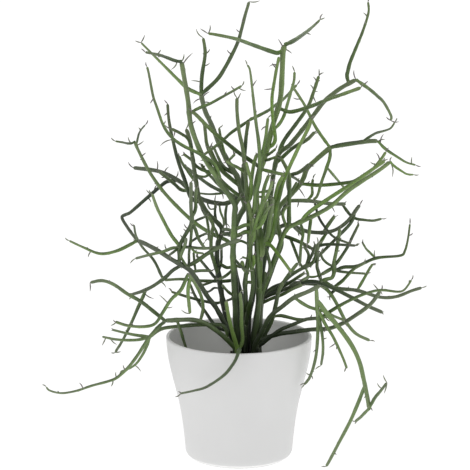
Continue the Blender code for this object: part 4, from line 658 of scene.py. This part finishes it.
def place(across, up, behind):
    """World points, in mm, that the view shows at (across, up) and that lie `behind` the pot's axis."""
    across, up, behind = (np.asarray(value, float)[..., None] for value in (across, up, behind))
    ray = (
        VIEW_DISTANCE * VIEW_FORWARD
        + (across - VIEW_ACROSS) * np.array((1.0, 0.0, 0.0))
        + (up + TABLE_BASE - VIEW_UP) * VIEW_UPWARD
    )
    return VIEW_STAND + ray * (behind - VIEW_STAND[1]) / ray[..., 1:2]


def seen(point):
    """(across, up) at which the view shows a world point in mm."""
    away = np.asarray(point, float) - VIEW_STAND
    scale = VIEW_DISTANCE / float(away @ VIEW_FORWARD)
    return VIEW_ACROSS + away[0] * scale, VIEW_UP - TABLE_BASE + float(away @ VIEW_UPWARD) * scale


def spread(across, up):
    """How far behind the axis a stem of lean 1 lies."""
    return SPREAD_AT_FOOT + SPREAD_SLOPE * np.hypot(across - CROWN_FOOT[0], up - CROWN_FOOT[1])


def through(points):
    """Close points on a Catmull-Rom curve through the given ones."""
    points = np.asarray(points, float)
    padded = np.vstack((2 * points[0] - points[1], points, 2 * points[-1] - points[-2]))
    fine = []
    for before, start, end, after in zip(padded, padded[1:], padded[2:], padded[3:]):
        for t in np.linspace(0, 1, CURVE_POINTS, endpoint=False):
            fine.append(
                0.5 * (2 * start + (end - before) * t
                       + (2 * before - 5 * start + 4 * end - after) * t**2
                       + (3 * start - before - 3 * end + after) * t**3)
            )
    return np.array(fine + [points[-1]])


def lengths(points):
    """How far along a line each of its points lies."""
    return np.concatenate(([0], np.cumsum(np.linalg.norm(np.diff(points, axis=0), axis=1))))


def evenly(points, measured, step):
    """Points at even steps along a curve, with lengths taken on `measured`, and their places along it."""
    along = lengths(measured)
    count = max(3, round(along[-1] / step) + 1)
    wanted = np.linspace(0, along[-1], count)
    return np.column_stack([np.interp(wanted, along, column) for column in points.T]), wanted


class Stem:
    """One round stem: its samples as seen from the front, their depth and radius, and what it grows from."""

    def __init__(self, cane, wide, thin, lean, points, start_depth, parent):
        self.cane = cane
        self.parent = parent
        own_depth = len(points[-1]) == 3
        if own_depth:
            points = [(*points[0][:2], start_depth), *points[1:]]
        curve = through(points)
        path, self.along = evenly(curve, curve[:, :2], SAMPLE_STEP)
        part = self.along / self.along[-1]
        self.across, self.up = path[:, 0], path[:, 1]
        if own_depth:
            self.behind = path[:, 2]
        else:
            reach = spread(self.across, self.up)
            ease = part * part * (3 - 2 * part)
            self.behind = (start_depth / reach[0] * (1 - ease) + lean * ease) * reach
        self.radius = STEM_FULLNESS * (wide + (thin - wide) * part) / 2

    def points(self):
        return place(self.across, self.up, self.behind)


def nearest(stems, across, up):
    """The stem, and its sample, that the view shows nearest to (across, up)."""
    reach = [float(np.hypot(stem.across - across, stem.up - up).min()) for stem in stems]
    stem = stems[int(np.argmin(reach))]
    return stem, int(np.hypot(stem.across - across, stem.up - up).argmin())


def grow(number, foot_across, lean, shapes):
    """The stems of one cane, each starting on the stem that carries it."""
    foot = np.array((foot_across, lean * ROOT_SPREAD, SOIL_TOP + SOIL_MOUND))
    stems = []
    for wide, thin, tip_lean, *points in shapes:
        if stems:
            carrier, sample = nearest(stems, *points[0][:2])
            start = (carrier.across[sample], carrier.up[sample])
            depth = carrier.behind[sample]
            points = [start, *points[1:]]
            stems.append(Stem(number, wide, thin, tip_lean, points, depth, (carrier, sample)))
        else:
            stems.append(Stem(number, wide, thin, tip_lean, [seen(foot), *points], foot[1], None))
    return stems


def smoothed(offset, first):
    """The offsets of one stem, evened out along it, with its foot held at `first`."""
    padded = np.concatenate(([first], offset[1:], offset[-1:]))
    result = offset.copy()
    result[0] = first
    result[1:] = 0.25 * padded[:-2] + 0.5 * padded[1:-1] + 0.25 * padded[2:]
    return result


def clear_each_other(stems):
    """Bends stems that would touch apart in depth, which leaves the front view as it is."""
    sizes = [len(stem.behind) for stem in stems]
    starts = np.concatenate(([0], np.cumsum(sizes)))
    names = ("across", "up", "radius", "along")
    across, up, radius, along = (np.concatenate([getattr(stem, name) for stem in stems]) for name in names)
    own_depth = np.concatenate([stem.behind for stem in stems])
    which = np.repeat(np.arange(len(stems)), sizes)
    cane = np.array([stem.cane for stem in stems])[which]
    first, second = np.triu_indices(len(across), 1)
    apart = np.hypot(across[first] - across[second], up[first] - up[second])
    wanted = radius[first] + radius[second] + STEM_CLEARANCE
    young = np.minimum(along[first], along[second]) < JOINT_REACH
    keep = (apart < wanted) & (which[first] != which[second])
    keep &= (cane[first] != cane[second]) | ~young
    first, second, apart, wanted = first[keep], second[keep], apart[keep], wanted[keep]
    needed = np.sqrt(wanted**2 - apart**2)
    order = np.where(own_depth[second] >= own_depth[first], 1.0, -1.0)
    offset = np.zeros(len(across))
    for _ in range(CLEARING_ROUNDS):
        depth = own_depth + offset
        short = np.maximum(needed - order * (depth[second] - depth[first]), 0) / 2
        back, front = np.zeros(len(across)), np.zeros(len(across))
        np.maximum.at(back, np.where(order > 0, second, first), short)
        np.maximum.at(front, np.where(order > 0, first, second), short)
        offset += back - front
        for index, stem in enumerate(stems):
            part = slice(starts[index], starts[index + 1])
            held = 0.0
            if stem.parent:
                carrier, sample = stem.parent
                held = offset[starts[stems.index(carrier)] + sample]
            offset[part] = smoothed(offset[part], held)
    for index, stem in enumerate(stems):
        stem.behind = stem.behind + offset[starts[index]:starts[index + 1]]


def pot_radius(height):
    """The pot's outer radius at a height, on a smooth curve through the outline."""
    heights, radii = np.array(POT_OUTLINE[::-1]).T
    slopes = np.gradient(radii, heights)
    index = int(np.clip(np.searchsorted(heights, height) - 1, 0, len(heights) - 2))
    width = heights[index + 1] - heights[index]
    t = min(max((height - heights[index]) / width, 0.0), 1.0)
    return float(
        radii[index] * (1 + 2 * t) * (1 - t) ** 2
        + slopes[index] * width * t * (1 - t) ** 2
        + radii[index + 1] * t * t * (3 - 2 * t)
        + slopes[index + 1] * width * t * t * (t - 1)
    )


def leaf_lines(stems, leaves, chance):
    """The foot, in the middle of its stem, and the tip of each leaf, in mm."""
    lines = []
    for foot_across, foot_up, tip_across, tip_up in leaves:
        carrier, sample = nearest(stems, foot_across, foot_up)
        depth = carrier.behind[sample] + chance.uniform(-LEAF_SWAY, LEAF_SWAY)
        lines.append((carrier.points()[sample], place(tip_across, tip_up, depth)))
    return lines


def frames(path):
    """Two directions across a path at each of its points, which follow it without twisting."""
    ahead = np.gradient(path, axis=0)
    ahead /= np.linalg.norm(ahead, axis=1)[:, None]
    side = np.empty_like(ahead)
    start = np.cross(ahead[0], (0.1, 1.0, 0.2))
    side[0] = start / np.linalg.norm(start)
    for index in range(1, len(path)):
        across = side[index - 1] - ahead[index] * (side[index - 1] @ ahead[index])
        side[index] = across / np.linalg.norm(across)
    return side, np.cross(ahead, side)


def turns(sides):
    """The angles of the corners round a ring."""
    return np.arange(sides) * 2 * math.pi / sides


def skin(name, rings, marks, surfaces, group):
    """A closed mesh over rings of points in mm, each end drawn to its middle, with marks for each point."""
    count, sides = rings.shape[:2]
    ends = (rings[0].mean(axis=0), rings[-1].mean(axis=0))
    points = np.vstack((rings.reshape(-1, 3), ends)) * MM
    first, last = count * sides, count * sides + 1
    faces = []
    for ring in range(count - 1):
        for side in range(sides):
            after = (side + 1) % sides
            low, high = ring * sides, (ring + 1) * sides
            faces.append((low + side, low + after, high + after, high + side))
    top = (count - 1) * sides
    for side in range(sides):
        after = (side + 1) % sides
        faces.append((after, side, first))
        faces.append((top + side, top + after, last))
    mesh = bpy.data.meshes.new(name)
    mesh.from_pydata(points.tolist(), [], faces)
    values = np.vstack((marks.reshape(-1, 5), marks[0].mean(axis=0), marks[-1].mean(axis=0)))
    mesh.attributes.new(MARKS, "FLOAT_COLOR", "POINT").data.foreach_set("color", values[:, :4].ravel())
    mesh.attributes.new(VIVID, "FLOAT", "POINT").data.foreach_set("value", values[:, 4].copy())
    for surface in surfaces:
        mesh.materials.append(surface)
    made = bpy.data.objects.new(name, mesh)
    group.objects.link(made)
    return made


def painted_daylight(path, least_painted_light):
    """How little painted shade of the crown each point of a path gets: 0 deep at the crown's foot, 1 well
    out.
    """
    out = np.linalg.norm(path - (CROWN_FOOT[0], 0, SOIL_TOP), axis=1) / OPEN_REACH
    front = -(path[:, 1] + FRONT_START) / FRONT_DEPTH
    return np.clip(np.maximum(np.maximum(out, front), least_painted_light), 0, 1) ** SHADE_POWER


def stem_skin(stem, children, tones_and_shade, surfaces, group, chance):
    """The skin of one stem, with a neck at its foot, swellings at its forks, leaf scars and a round tip."""
    shape = through(np.column_stack((stem.points(), stem.radius)))
    if stem.parent is None:
        shape = np.vstack((shape[0] - (0, 0, ROOT_DEPTH, 0), shape))
    rings, along = evenly(shape, shape[:, :3], RING_STEP)
    path, radius = rings[:, :3], rings[:, 3]
    length = along[-1]
    for child in children:
        fork = along[np.linalg.norm(path - child.points()[0], axis=1).argmin()]
        radius = radius * (1 + FORK_SWELLING * np.exp(-(((along - fork) / FORK_REACH) ** 2)))
    wave = chance.uniform(*WAVE_LENGTHS)
    radius = radius * (1 + WAVE_DEPTH * np.sin(along * 2 * math.pi / wave + chance.uniform(*ANY_PHASE)))
    if stem.parent:
        carrier, sample = stem.parent
        thick = carrier.radius[sample]
        neck = np.exp(-(((along - NECK_PLACE * thick) / NECK_REACH) ** 2))
        radius = radius * (1 - NECK_DEPTH * neck)
        radius = np.where(along < thick, np.minimum(radius, FOOT_SHARE * thick), radius)
    left = np.clip((length - along) / (TIP_LENGTH * radius[-1]), TIP_SMALLEST, 1)
    radius = radius * np.sqrt(1 - (1 - left) ** 2)
    side, up = frames(path)
    turn = turns(STEM_SIDES)
    scars = np.zeros((len(path), STEM_SIDES))
    place_along = chance.uniform(*SCAR_STEPS)
    where = chance.uniform(*ANY_PHASE)
    while place_along < length - SCAR_FREE_TIP:
        off = (turn - where + math.pi) % (2 * math.pi) - math.pi
        bump = np.exp(
            -(((along[:, None] - place_along) / SCAR_LENGTH) ** 2) - (off * radius[:, None] / SCAR_WIDTH) ** 2
        )
        scars = np.maximum(scars, bump)
        place_along += chance.uniform(*SCAR_STEPS)
        where += SCAR_TURN
    reach = (radius[:, None] + SCAR_HEIGHT * scars)[..., None]
    points = path[:, None] + reach * (
        np.cos(turn)[:, None] * side[:, None] + np.sin(turn)[:, None] * up[:, None]
    )
    bright, vivid, least_painted_light = tones_and_shade
    marks = np.ones((len(path), STEM_SIDES, 5))
    # Brightness: partly the stem's own tone, partly painted shade set for each cane
    marks[..., 0] = bright + chance.uniform(-BRIGHT_SWAY, BRIGHT_SWAY)
    # Painted light: one side of the stem lighter and the other side darker
    marks[..., 0] += PAINTED_SIDE_LIGHT * np.cos(turn - chance.uniform(*ANY_PHASE))
    marks[..., 1] = (along / length)[:, None]
    marks[..., 2] = scars
    # Painted shade: how far each point lies out of the crown's shade, which darkens its colour
    marks[..., 3] = painted_daylight(path, least_painted_light)[:, None]
    marks[..., 4] = vivid + chance.uniform(-VIVID_SWAY, VIVID_SWAY)
    return skin("stem", points, marks, surfaces, group)


def blade(foot, tip, surfaces, group, chance):
    """A small leaf, lens-shaped across, that bows from the middle of its stem to a pointed tip."""
    run = tip - foot
    length = float(np.linalg.norm(run))
    bow = np.cross(run, [chance.uniform(-1, 1) for _ in range(3)])
    bow *= BLADE_BOW * length / max(float(np.linalg.norm(bow)), 1e-6)
    part = np.linspace(0, 1, BLADE_RINGS)
    path = foot + part[:, None] * run + np.sin(part * math.pi)[:, None] * bow
    full = np.sin(math.pi * (BLADE_ARCH[0] + BLADE_ARCH[1] * part)) ** BLADE_FULLNESS
    side, up = frames(path)
    turn = turns(BLADE_SIDES)
    wide = BLADE_WIDTH / 2 * full[:, None] * np.cos(turn)
    thick = BLADE_THICKNESS / 2 * full[:, None] * np.sin(turn)
    points = path[:, None] + wide[..., None] * side[:, None] + thick[..., None] * up[:, None]
    marks = np.ones((BLADE_RINGS, BLADE_SIDES, 5))
    marks[..., 0] = chance.random()
    marks[..., 1] = part[:, None]
    marks[..., 2] = 0
    return skin("leaf", points, marks, surfaces, group)


def tiny_leaves(stem, leaves, chance):
    """(foot, tip) of leaves too small for the table: a tuft at a bare tip, a few along the young part."""
    points = stem.points()
    along = lengths(points)
    found = []

    def sprout(distance, spread_out, sizes):
        foot = np.array([np.interp(distance, along, column) for column in points.T])
        index = min(int(np.searchsorted(along, distance)), len(points) - 1)
        ahead = points[index] - points[index - 1]
        ahead = ahead / np.linalg.norm(ahead)
        sideways = np.cross(ahead, [chance.gauss(0, 1) for _ in range(3)])
        way = ahead + spread_out * sideways / np.linalg.norm(sideways)
        reach = chance.uniform(*sizes)
        found.append((foot, foot + way / np.linalg.norm(way) * reach))

    if all(np.linalg.norm(foot - points[-1]) > BARE_TIP for foot, _ in leaves):
        for _ in range(TIP_LEAVES):
            place_along = along[-1] - chance.uniform(*TIP_LEAF_PLACES)
            sprout(place_along, chance.uniform(*TIP_LEAF_SPREADS), TIP_LEAF_LENGTHS)
    distance = along[-1] * (1 - YOUNG_SHARE) + chance.uniform(*SIDE_LEAF_STEPS) / 2
    while distance < along[-1] - SIDE_LEAF_FREE_TIP:
        if chance.random() < SIDE_LEAF_CHANCE:
            sprout(distance, chance.uniform(*SIDE_LEAF_SPREADS), SIDE_LEAF_LENGTHS)
        distance += chance.uniform(*SIDE_LEAF_STEPS)
    return [(foot, tip) for foot, tip in found if in_the_open(tip)]


def in_the_open(point):
    """Whether a point in mm is inside the model's box, clear of its sides, and clear of the pot."""
    low, high = np.array(CAD_BOX) / MM
    if (point < low + BOX_MARGIN).any() or (point > high - BOX_MARGIN).any():
        return False
    return point[2] > POT_HEIGHT or math.hypot(point[0], point[1]) > pot_radius(point[2]) + BOX_MARGIN


def put_in_scene(name, data):
    made = bpy.data.objects.new(name, data)
    bpy.context.scene.collection.objects.link(made)
    return made


def new_collection(name):
    made = bpy.data.collections.new(name)
    bpy.context.scene.collection.children.link(made)
    return made


def joined(name, base, others):
    """One closed mesh of the base and everything in the other collection, which is then emptied."""
    union = base.modifiers.new("Join", "BOOLEAN")
    union.operation = "UNION"
    union.operand_type = "COLLECTION"
    union.collection = others
    union.solver = "MANIFOLD"
    bpy.context.view_layer.update()
    graph = bpy.context.evaluated_depsgraph_get()
    mesh = bpy.data.meshes.new_from_object(base.evaluated_get(graph))
    mesh.name = name
    for used in [base, *others.objects]:
        bpy.data.objects.remove(used)
    return put_in_scene(name, mesh)


def kept_in_box(piece):
    """Holds every vertex of a piece inside the box of the construction model."""
    low, high = np.array(CAD_BOX)
    points = np.empty(len(piece.data.vertices) * 3)
    piece.data.vertices.foreach_get("co", points)
    points = np.clip(points.reshape(-1, 3), low, high)
    piece.data.vertices.foreach_set("co", points.ravel())
    piece.data.update()


def finished(piece, node):
    """Shades a piece smooth, and puts it in the place of its node."""
    kept_in_box(piece)
    piece.data.shade_smooth()
    piece.data.set_sharp_from_angle(angle=SMOOTH_ANGLE)
    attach(piece, "root")
    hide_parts(node)


def make_cane(name, stems, leaves, surfaces, chances):
    base_group = new_collection("base")
    others = new_collection("others")
    table_chance, chance = chances
    lines = leaf_lines(stems, leaves, table_chance)
    base = None
    for index, stem in enumerate(stems):
        tones_and_shade = STEM_TONES_AND_SHADE.get((name, index), CANE_TONES_AND_SHADE[name])
        children = [other for other in stems if other.parent and other.parent[0] is stem]
        group = others if base else base_group
        made = stem_skin(stem, children, tones_and_shade, surfaces, group, chance)
        base = base or made
    for stem in stems:
        lines += tiny_leaves(stem, lines, chance)
    for foot, tip in lines:
        made = blade(foot, tip, surfaces, others, chance)
        made.data.polygons.foreach_set("material_index", [1] * len(made.data.polygons))
    cane = joined(name + "_skin", base, others)
    bpy.data.collections.remove(base_group)
    bpy.data.collections.remove(others)
    finished(cane, name)


def lathe(name, profile, steps, surface):
    """A solid turned from (radius, height) points in mm that run down its outer side."""
    mesh = bpy.data.meshes.new(name)
    points = [(radius * MM, 0.0, height * MM) for radius, height in profile]
    mesh.from_pydata(points, [(index, index + 1) for index in range(len(points) - 1)], [])
    drawn = put_in_scene(name, mesh)
    screw = drawn.modifiers.new("Turn", "SCREW")
    screw.steps = steps
    screw.render_steps = steps
    screw.use_merge_vertices = True
    screw.merge_threshold = MERGE_DISTANCE * MM
    graph = bpy.context.evaluated_depsgraph_get()
    solid = bpy.data.meshes.new_from_object(drawn.evaluated_get(graph))
    bpy.data.objects.remove(drawn)
    solid.materials.append(surface)
    return put_in_scene(name, solid)


def inner_wall(rings):
    """(radius, height) points of the pot's inside, from the middle of its floor up to the rim."""
    heights = np.linspace(POT_FLOOR + INNER_CORNER, POT_HEIGHT - RIM_ROUNDING, rings)
    wall = [(pot_radius(height) - POT_WALL, float(height)) for height in heights]
    return [(0.0, POT_FLOOR), (wall[0][0] - INNER_CORNER, POT_FLOOR), *wall]


def make_pot(surface):
    rim = pot_radius(POT_HEIGHT) - POT_WALL / 2
    profile = inner_wall(POT_RINGS)
    for turn in np.linspace(180, 0, RIM_POINTS)[1:-1]:
        angle = math.radians(turn)
        height = POT_HEIGHT - RIM_ROUNDING * (1 - math.sin(angle))
        profile.append((rim + POT_WALL / 2 * math.cos(angle), height))
    outer = np.linspace(POT_HEIGHT - RIM_ROUNDING, FOOT_ROUNDING, POT_RINGS)
    profile += [(pot_radius(height), height) for height in outer]
    foot = pot_radius(FOOT_ROUNDING) - FOOT_ROUNDING
    for turn in np.linspace(0, 90, FOOT_POINTS)[1:]:
        angle = math.radians(turn)
        profile.append((foot + FOOT_ROUNDING * math.cos(angle), FOOT_ROUNDING * (1 - math.sin(angle))))
    profile.append((0.0, 0.0))
    made = lathe("pot_skin", profile, POT_STEPS, surface)
    # Marks the pot's inside, where its colour is painted lighter as painted light
    inside = []
    for vertex in made.data.vertices:
        across, height = math.hypot(vertex.co.x, vertex.co.y) / MM, vertex.co.z / MM
        inside.append(float(height > POT_FLOOR / 2 and across < pot_radius(height) - POT_WALL / 2))
    made.data.attributes.new(PAINTED_LIGHT_INSIDE, "FLOAT", "POINT").data.foreach_set("value", inside)
    finished(made, "pot")


def rough(x, y, height, size, depth):
    """What noise with lumps of one size adds to a height at (x, y), in mm."""
    return height * noise.noise(Vector((x, y, depth)) / size)


def soil_height(x, y):
    """The top of the soil in mm: a low mound, the root ball's crown in the middle, and clods."""
    reach = math.hypot(x, y)
    edge = pot_radius(SOIL_TOP) - POT_WALL
    mound = SOIL_MOUND * math.cos(min(reach / edge, 1) * math.pi / 2)
    crown = CROWN_RISE * math.exp(-((reach / CROWN_REACH) ** 2))
    return SOIL_TOP + mound + crown + rough(x, y, *CLODS) + rough(x, y, *GRIT)


def make_soil(surface, chance):
    """The soil with an uneven top, and loose crumbs on it."""
    pot_inside = inner_wall(SOIL_WALL_RINGS)
    wall = [(max(radius - TOUCH_GAP, 0.0), height + TOUCH_GAP) for radius, height in pot_inside]
    radii, heights = zip(*wall)
    edge = float(np.interp(SOIL_TOP, heights, radii))
    profile = [(edge * share, SOIL_TOP) for share in np.linspace(0, 1, SOIL_RINGS)]
    profile += [(radius, height) for radius, height in wall[::-1] if height < SOIL_TOP - SOIL_EDGE]
    made = lathe("soil_skin", profile, SOIL_STEPS, surface)
    for vertex in made.data.vertices:
        if abs(vertex.co.z - SOIL_TOP * MM) < TOP_TOLERANCE * MM:
            vertex.co.z = soil_height(vertex.co.x / MM, vertex.co.y / MM) * MM
    shape = bmesh.new()
    shape.from_mesh(made.data)
    for _ in range(CRUMBS):
        reach = (edge - CRUMB_SIZES[1]) * math.sqrt(chance.random())
        around = chance.uniform(0, 2 * math.pi)
        size = chance.uniform(*CRUMB_SIZES)
        x, y = reach * math.cos(around), reach * math.sin(around)
        crumb = bmesh.ops.create_icosphere(shape, subdivisions=2, radius=size / 2 * MM)["verts"]
        stretch = Vector([chance.uniform(*span) for span in CRUMB_STRETCHES])
        offset = Vector((x, y, chance.uniform(0, CRUMB_KINDS)))
        for vertex in crumb:
            lump = 1 + CRUMB_ROUGHNESS * noise.noise(vertex.co / (size * MM) * CRUMB_LUMPS + offset)
            vertex.co = vertex.co * lump * stretch
        place_at = Vector((x, y, soil_height(x, y) + size * CRUMB_LIFT)) * MM
        bmesh.ops.translate(shape, vec=place_at, verts=crumb)
    shape.to_mesh(made.data)
    shape.free()
    finished(made, "soil")


def add(tree, kind, inputs=None, **settings):
    """A new node with its settings, and with its inputs set to values or linked to other nodes' outputs."""
    node = tree.nodes.new(kind)
    for name, value in settings.items():
        setattr(node, name, value)
    for name, value in (inputs or {}).items():
        if isinstance(value, bpy.types.NodeSocket):
            tree.links.new(value, node.inputs[name])
        else:
            node.inputs[name].default_value = value
    return node


def new_surface(name):
    made = bpy.data.materials.new(name)
    made.use_nodes = True
    tree = made.node_tree
    place_node = add(tree, "ShaderNodeTexCoord")
    return made, tree, tree.nodes["Principled BSDF"], place_node.outputs["Object"]


def speckle(tree, vector, scale, detail=3.0, roughness=0.55):
    """Soft noise from 0 to 1 with `scale` patches in a metre."""
    inputs = {"Vector": vector, "Scale": scale, "Detail": detail, "Roughness": roughness}
    return add(tree, "ShaderNodeTexNoise", inputs).outputs["Fac"]


def ranged(tree, value, low, high, to_low=0.0, to_high=1.0):
    """A value taken from one range to another, held at its ends."""
    inputs = {"Value": value, "From Min": low, "From Max": high, "To Min": to_low, "To Max": to_high}
    return add(tree, "ShaderNodeMapRange", inputs).outputs["Result"]


def blended(tree, share, first, second, blend="MIX"):
    """A mix of two colours, each a colour or an output."""
    colours = {}
    for name, value in (("Color1", first), ("Color2", second)):
        colours[name] = value if isinstance(value, bpy.types.NodeSocket) else (*value, 1.0)
    return add(tree, "ShaderNodeMixRGB", {"Fac": share, **colours}, blend_type=blend).outputs["Color"]


def laid_over(tree, base, colour, value, low, high, most=1.0):
    """The base colour under another, which covers up to `most` of it as a value goes from low to high."""
    return blended(tree, ranged(tree, value, low, high, 0.0, most), base, colour)


def wired(tree, shader, colour, patches, roughness, relief, depth, strength):
    """Gives a shader its colour, a roughness that follows patches, and a bump `depth` mm deep."""
    bump = add(tree, "ShaderNodeBump", {"Height": relief, "Distance": depth * MM, "Strength": strength})
    tree.links.new(colour, shader.inputs["Base Color"])
    tree.links.new(ranged(tree, patches, 0.3, 0.7, *roughness), shader.inputs["Roughness"])
    tree.links.new(bump.outputs["Normal"], shader.inputs["Normal"])


def stem_surface():
    """Waxy skin, each stem its own green, grey or vivid, painted near black deep in the crown as painted
    shade, with a painted lit side and pale scars.
    """
    made, tree, shader, place_now = new_surface("stem_wax")
    marks = add(tree, "ShaderNodeAttribute", attribute_name=MARKS)
    tone, age, scar = add(tree, "ShaderNodeSeparateColor", {"Color": marks.outputs["Color"]}).outputs
    patches = speckle(tree, place_now, 45.0, 2.0)
    grain = speckle(tree, place_now, 900.0, 4.0)
    share = add(tree, "ShaderNodeMath", {0: tone, 1: patches}, operation="ADD").outputs[0]
    share = ranged(tree, share, 0.45, 1.4)
    green = blended(tree, share, STEM_DARK, STEM_GREEN)
    green = laid_over(tree, green, STEM_BRIGHT, share, 0.7, 1.0, 0.85)
    green = laid_over(tree, green, STEM_YOUNG, age, 0.45, 1.0, 0.5)
    vivid = add(tree, "ShaderNodeAttribute", attribute_name=VIVID).outputs["Fac"]
    tint = blended(tree, ranged(tree, vivid, 0.0, 1.0), GREY_TINT, VIVID_TINT)
    green = blended(tree, 1.0, green, tint, "MULTIPLY")
    green = laid_over(tree, green, STEM_DARK, grain, 0.35, 0.7, 0.35)
    # Painted shade: the stems turn near black deep in the crown
    green = blended(tree, marks.outputs["Alpha"], STEM_PAINTED_SHADE, green)
    green = laid_over(tree, green, STEM_SCAR, scar, 0.25, 0.9, 0.6)
    wired(tree, shader, green, grain, STEM_ROUGHNESS, grain, 0.05, 0.6)
    return made


def leaf_surface():
    """Thin grey-green leaves, some of them dull purple."""
    made, tree, shader, place_now = new_surface("leaf_skin")
    marks = add(tree, "ShaderNodeAttribute", attribute_name=MARKS)
    tone, age, _ = add(tree, "ShaderNodeSeparateColor", {"Color": marks.outputs["Color"]}).outputs
    patches = speckle(tree, place_now, 400.0)
    colour = laid_over(tree, LEAF_GREEN, LEAF_PURPLE, tone, 0.2, 0.8)
    colour = laid_over(tree, colour, LEAF_DARK, patches, 0.35, 0.7, 0.4)
    colour = laid_over(tree, colour, LEAF_TIP_COLOUR, age, 0.6, 1.0, 0.5)
    wired(tree, shader, colour, patches, LEAF_ROUGHNESS, patches, 0.05, 0.5)
    return made


def pot_surface():
    """Matte white ceramic, faintly clouded and finely grained, with painted light that makes its inside
    whiter.
    """
    made, tree, shader, place_now = new_surface("pot_glaze")
    clouds = speckle(tree, place_now, 14.0, 2.0)
    grain = speckle(tree, place_now, 1400.0, 2.0)
    white = laid_over(tree, POT_WHITE, POT_GREY, clouds, 0.3, 0.7)
    white = laid_over(tree, white, POT_SPECK, grain, 0.62, 0.8, 0.25)
    # Painted light: the inside wall and floor made whiter than the outside
    inside = add(tree, "ShaderNodeAttribute", attribute_name=PAINTED_LIGHT_INSIDE).outputs["Fac"]
    white = blended(tree, inside, white, POT_INSIDE_PAINTED_LIGHT)
    shader.inputs["Specular IOR Level"].default_value = POT_SHINE
    wired(tree, shader, white, clouds, POT_ROUGHNESS, grain, 0.03, 0.35)
    return made


def soil_surface():
    """Dark damp compost with paler fibres."""
    made, tree, shader, place_now = new_surface("soil_compost")
    clods = speckle(tree, place_now, 220.0, 5.0, 0.7)
    fibres = speckle(tree, place_now, 1200.0, 3.0)
    brown = laid_over(tree, SOIL_DARK, SOIL_BROWN, clods, 0.35, 0.65)
    brown = laid_over(tree, brown, SOIL_FIBRE, fibres, 0.62, 0.75, 0.6)
    wired(tree, shader, brown, clods, SOIL_ROUGHNESS, fibres, 0.4, 0.8)
    return made


def make_stage():
    """A pale floor that glows a little, as on a lit table, a soft light from each side, and the view."""
    bpy.ops.mesh.primitive_plane_add(size=FLOOR_SIZE)
    floor = bpy.context.object
    floor.name = "floor"
    made, tree, shader, place_now = new_surface("floor_paper")
    paper = blended(tree, speckle(tree, place_now, 30.0), FLOOR_WHITE, FLOOR_SHADE)
    tree.links.new(paper, shader.inputs["Base Color"])
    shader.inputs["Roughness"].default_value = FLOOR_ROUGHNESS
    shader.inputs["Emission Color"].default_value = (*SKY_COLOUR, 1.0)
    shader.inputs["Emission Strength"].default_value = FLOOR_GLOW
    made.cycles.emission_sampling = "NONE"
    floor.data.materials.append(made)
    world = bpy.data.worlds.new("studio")
    bpy.context.scene.world = world
    world.use_nodes = True
    sky = world.node_tree.nodes["Background"]
    sky.inputs["Color"].default_value = (*SKY_COLOUR, 1.0)
    sky.inputs["Strength"].default_value = SKY_STRENGTH
    for name, strength, spread_angle, direction in LAMPS:
        lamp = bpy.data.lights.new(name, "SUN")
        lamp.energy = strength
        lamp.angle = math.radians(spread_angle)
        put_in_scene(name, lamp).rotation_euler = Vector(direction).to_track_quat("-Z", "Y").to_euler()
    camera = bpy.data.cameras.new("camera")
    camera.sensor_width = SENSOR
    camera.lens = SENSOR * VIEW_DISTANCE / PICTURE_WIDTH
    camera.clip_end = FAR_END
    held = put_in_scene("camera", camera)
    held.location = VIEW_STAND * MM
    held.rotation_euler = (math.pi / 2 - VIEW_PITCH, 0.0, 0.0)
    bpy.context.scene.camera = held
    bpy.context.scene.view_settings.view_transform = "Standard"


def main():
    make_stage()
    surfaces = (stem_surface(), leaf_surface())
    chances = (random.Random(LEAF_SEED), random.Random(LOOKS_SEED))
    grown = [grow(number, foot, lean, shapes) for number, (_, foot, lean, shapes, _) in enumerate(CANES)]
    clear_each_other([stem for stems in grown for stem in stems])
    for (name, _, _, _, leaves), stems in zip(CANES, grown):
        make_cane(name, stems, leaves, surfaces, chances)
    make_pot(pot_surface())
    make_soil(soil_surface(), chances[1])


main()
